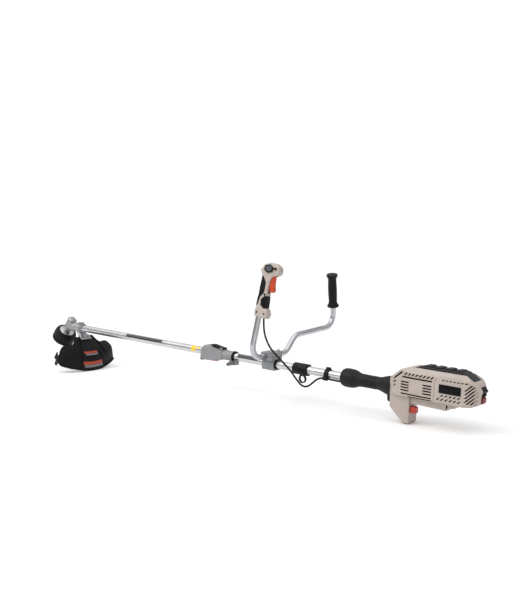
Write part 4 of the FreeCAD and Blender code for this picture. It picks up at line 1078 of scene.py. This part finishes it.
def vent_outlines():
    """Level slots, the slanted row along the shoulder, and the strokes that follow the front slope."""
    outlines = []
    for front in (1464, 1534):
        outlines += [level(front, front + 27, 26 - row * 7.8, 4.3) for row in range(4)]
    outlines.append([(1466, 37.6), (1562, 37.6), (1562, 42.4), (1471, 42.4)])
    outlines.append(level(1465, 1561, -7.0, 4.2))
    outlines += [slanted(1473 + 11.6 * n, 45.4, 11.4, 6.0) for n in range(8)]
    outlines.append([(1435.5, 30), (1440, 28), (1469.5, 51.5), (1466, 55.5)])
    outlines.append([(1435.5, 20), (1440.5, 17.4), (1448, 24), (1444, 27.5)])
    outlines.append([(1435.5, 9.5), (1441, 7.6), (1447, 13), (1442.5, 16)])
    return outlines


def side_tools(outlines, inner, outer=50):
    """A prism on each side of the housing for every outline."""
    sides = (span(-1, inner, outer), span(1, inner, outer))
    return [pillow("way", outline, *side, TOOL) for outline in outlines for side in sides]


def housing_ways():
    """The neck's hole, the battery's mouth, and the holes for the two buttons and the tray."""
    mouth = [(1500, 40), (1656, 40), (1656, 56.5), (1671, 46.4), (1677.5, 55), (1670, 90), (1500, 90)]
    return [
        rod("way", 21, 1405, 1432, ALONG_SHAFT, 48),
        pillow("way", mouth, -24.6, 24.6, TOOL),
        box("way", (1660, 1712), (-9.5, 9.5), (-5.5, 17.5), TOOL),
        box("way", (1479, 1492), (-17.5, 1.5), (-63.5, -44.5), TOOL),
        box("way", (1492, 1628), (-16, 16), (-20, -12), TOOL),
    ]


PANEL_SEAT = [(1568.6, -11), (1568.6, 43), (1580, 57), (1655, 57), (1655, -11)]
PANEL_SEAT_Y = 36.7


def make_housing():
    shell = unite(body_form(0), [foot_form(0)])
    tidy_facets(shell)
    soften(shell, 2.6, 3, 12)
    carve(shell, [body_form(WALL)])
    carve(shell, [foot_form(WALL)])
    carve(shell, side_tools([rounded(PANEL_SEAT, 4)], PANEL_SEAT_Y))
    carve(shell, housing_ways() + side_tools(vent_outlines() + panel_strokes(), 27))
    near, far = split_halves(shell, ("housing_shell_near", "housing_shell_far"), TOOL)
    finish(near, "grey_plastic", "housing_near")
    finish(far, "grey_plastic", "housing_far")


def make_liner():
    """Dark sheet just inside the housing that paints the shade seen through its slots."""
    liner = carve(body_form(WALL + 0.15), [body_form(WALL + 1.2)])
    carve(liner, housing_ways())
    liner.name = "slot_shade_liner"
    finish(liner, "painted_shade")


PANEL_OUTLINE = [(1571, -11), (1571, 42), (1581, 55), (1655, 55), (1664, 51), (1692, 27), (1689, -4),
                 (1677, -10), (1655, -13)]
PANEL_RISE, PANEL_DEPTH = 2.3, 1.4


def make_panels():
    """The raised part of each side, behind the vents."""
    for side in (-1, 1):
        panel = body_form(-PANEL_RISE)
        keep = pillow("keep", rounded(PANEL_OUTLINE, 5), *span(side, 12, 60), TOOL)
        boolean(panel, [keep], "INTERSECT")
        carve(panel, [body_form(PANEL_DEPTH)])
        soften(panel, 1.3, 3, 40)
        carve(panel, side_tools(panel_strokes(), 20))
        finish(panel, "grey_plastic")
    plate = rounded(oblong((1584, 1649), (14, 38)), 2.0)
    plates = []
    for side in (-1, 1):
        rounds = (0.5, 0.0) if side < 0 else (0.0, 0.5)
        plates.append(pillow("plate", plate, *span(side, 38.2, 41.2), TOOL, *rounds, steps=2))
    finish(combine("side_plates", plates), "plate_black", "name_plate")


def make_battery():
    lid = rounded([(1503, 64), (1507, 71), (1520, 75), (1645, 75), (1676, 54), (1671, 47), (1650, 60)], 2.5)
    case = box("battery_case", (1506, 1654), (-23.8, 23.8), (-8, 66), TOOL)
    parts = [pillow("lid", lid, -24, 24, TOOL, 4.0, 4.0, 4)]
    for x in (1537, 1568, 1599, 1630):
        rib = rounded([(x - 14, 74), (x - 9, 78.4), (x + 6, 78.4), (x + 9, 74)], 1.5)
        parts.append(pillow("rib", rib, -20, 20, TOOL, 3.5, 3.5, 3))
    soften(case, 1.5, 3)
    unite(case, parts)
    carve(case, [box("way", (1578, 1583.5), (y - 1.5, y + 9.5), (-9, 5), TOOL) for y in (-12, 4)])
    finish(case, "lid_black", "battery_pack")


NECK_PROFILE = [
    (13.1, 1250), (19, 1250), (22.5, 1251), (25.6, 1254), (27.8, 1260), (28.6, 1268), (28.4, 1280),
    (27.4, 1290), (24.8, 1298), (21.4, 1306), (19.8, 1316), (19.2, 1340), (18.8, 1372), (20.2, 1382),
    (23, 1392), (27, 1404), (30.8, 1424.4), (13.1, 1424.4),
]


def make_neck():
    neck = lathe("neck_sleeve", NECK_PROFILE, ALONG_SHAFT, segments=96)
    lip = [(-17, -14), (17, -14), (11, -45), (-11, -45)]
    unite(neck, [pillow("lip", rounded(lip, 4), 1408, 1424.4, TOOL, 6, 0, 4, to=TO_SECTION)])
    melt(neck, 1.3, 6, 0.6)
    lead_end = TOOL @ Matrix.Translation((0, -12.3, -13.3)) @ TO_SECTION
    carve(neck, [rod("way", LEAD_R + 0.3, 1240, 1268, lead_end)])
    finish(neck, "neck_rubber", "neck_grip")
    rings = []
    for number in range(5):
        x = 1322 + number * 10.5
        ring = [(17.5, x), (19.5, x + 0.8), (19.5, x + 2.6), (17.5, x + 3.4)]
        rings.append(lathe("ring", ring, ALONG_SHAFT, segments=96))
    finish(combine("neck_rings", rings), "rubber")


def make_powerhead_trim():
    """Small parts of the powerhead, the black bumper at its rear tip, and dark blocks that paint the shade of
    a recess at the rear, of the tray's mouth and of the groove above the tray.
    """
    tip = rounded([(1686, 43), (1693, 42), (1702.5, 31.5), (1700.5, 26.5), (1693, 24.5), (1689, 31)], 1.5)
    finish(pillow("rear_bumper", tip, -14, 14, TOOL, 3, 3, 4), "black_plastic")
    # A dark block at the rear end paints the shade of a recess.
    recess = [(1686, 18.6), (1699.4, 18.6), (1698.4, 25), (1686, 27)]
    finish(pillow("rear_recess_shade", recess, -10.5, 10.5, TOOL, 1, 1, 2), "painted_shade")
    # A dark block paints the shade inside the tray's mouth.
    mouth = [(1597, -35.5), (1601.5, -30.5), (1604, -22), (1598, -22)]
    finish(pillow("tray_mouth_shade", mouth, -19.25, 19.25, TOOL, 0.6, 0.6, 2), "painted_shade")
    # Dark strips on each side paint the shade of the groove above the tray.
    grooves = side_tools([[(1489, -14.6), (1560, -14.6), (1562, -12.6), (1489, -12.6)]], 30.0, 36.4)
    finish(combine("groove_shade_strips", grooves), "painted_shade")
    softened("controller_cover", 1.6, 3)
    softened("foot_cap", 2.6, 4)
    softened("battery_latch", 0.6, 2)
    softened("release_button", 1.4, 3, "dark_red")
    softened("power_button", 1.0, 2)
    softened("battery_cradle", 0.6, 2)


make_camera()
make_lead(M["cable_jacket"])
make_light()
make_floor()
make_decals()
make_cutting_head()
make_gear_case()
make_guard()
make_coupler()
make_clamps()
make_handlebar()
make_rubber_grip()
make_throttle_grip()
make_grip_controls()
make_housing()
make_liner()
make_panels()
make_battery()
make_neck()
make_powerhead_trim()

DARK_NODES = ("casing_screws", "line_cutter")
for node, slot_name in SLOT_OF.items():
    for material_slot in NODES[node].material_slots:
        material_slot.material = M["black_oxide" if node in DARK_NODES else slot_name]
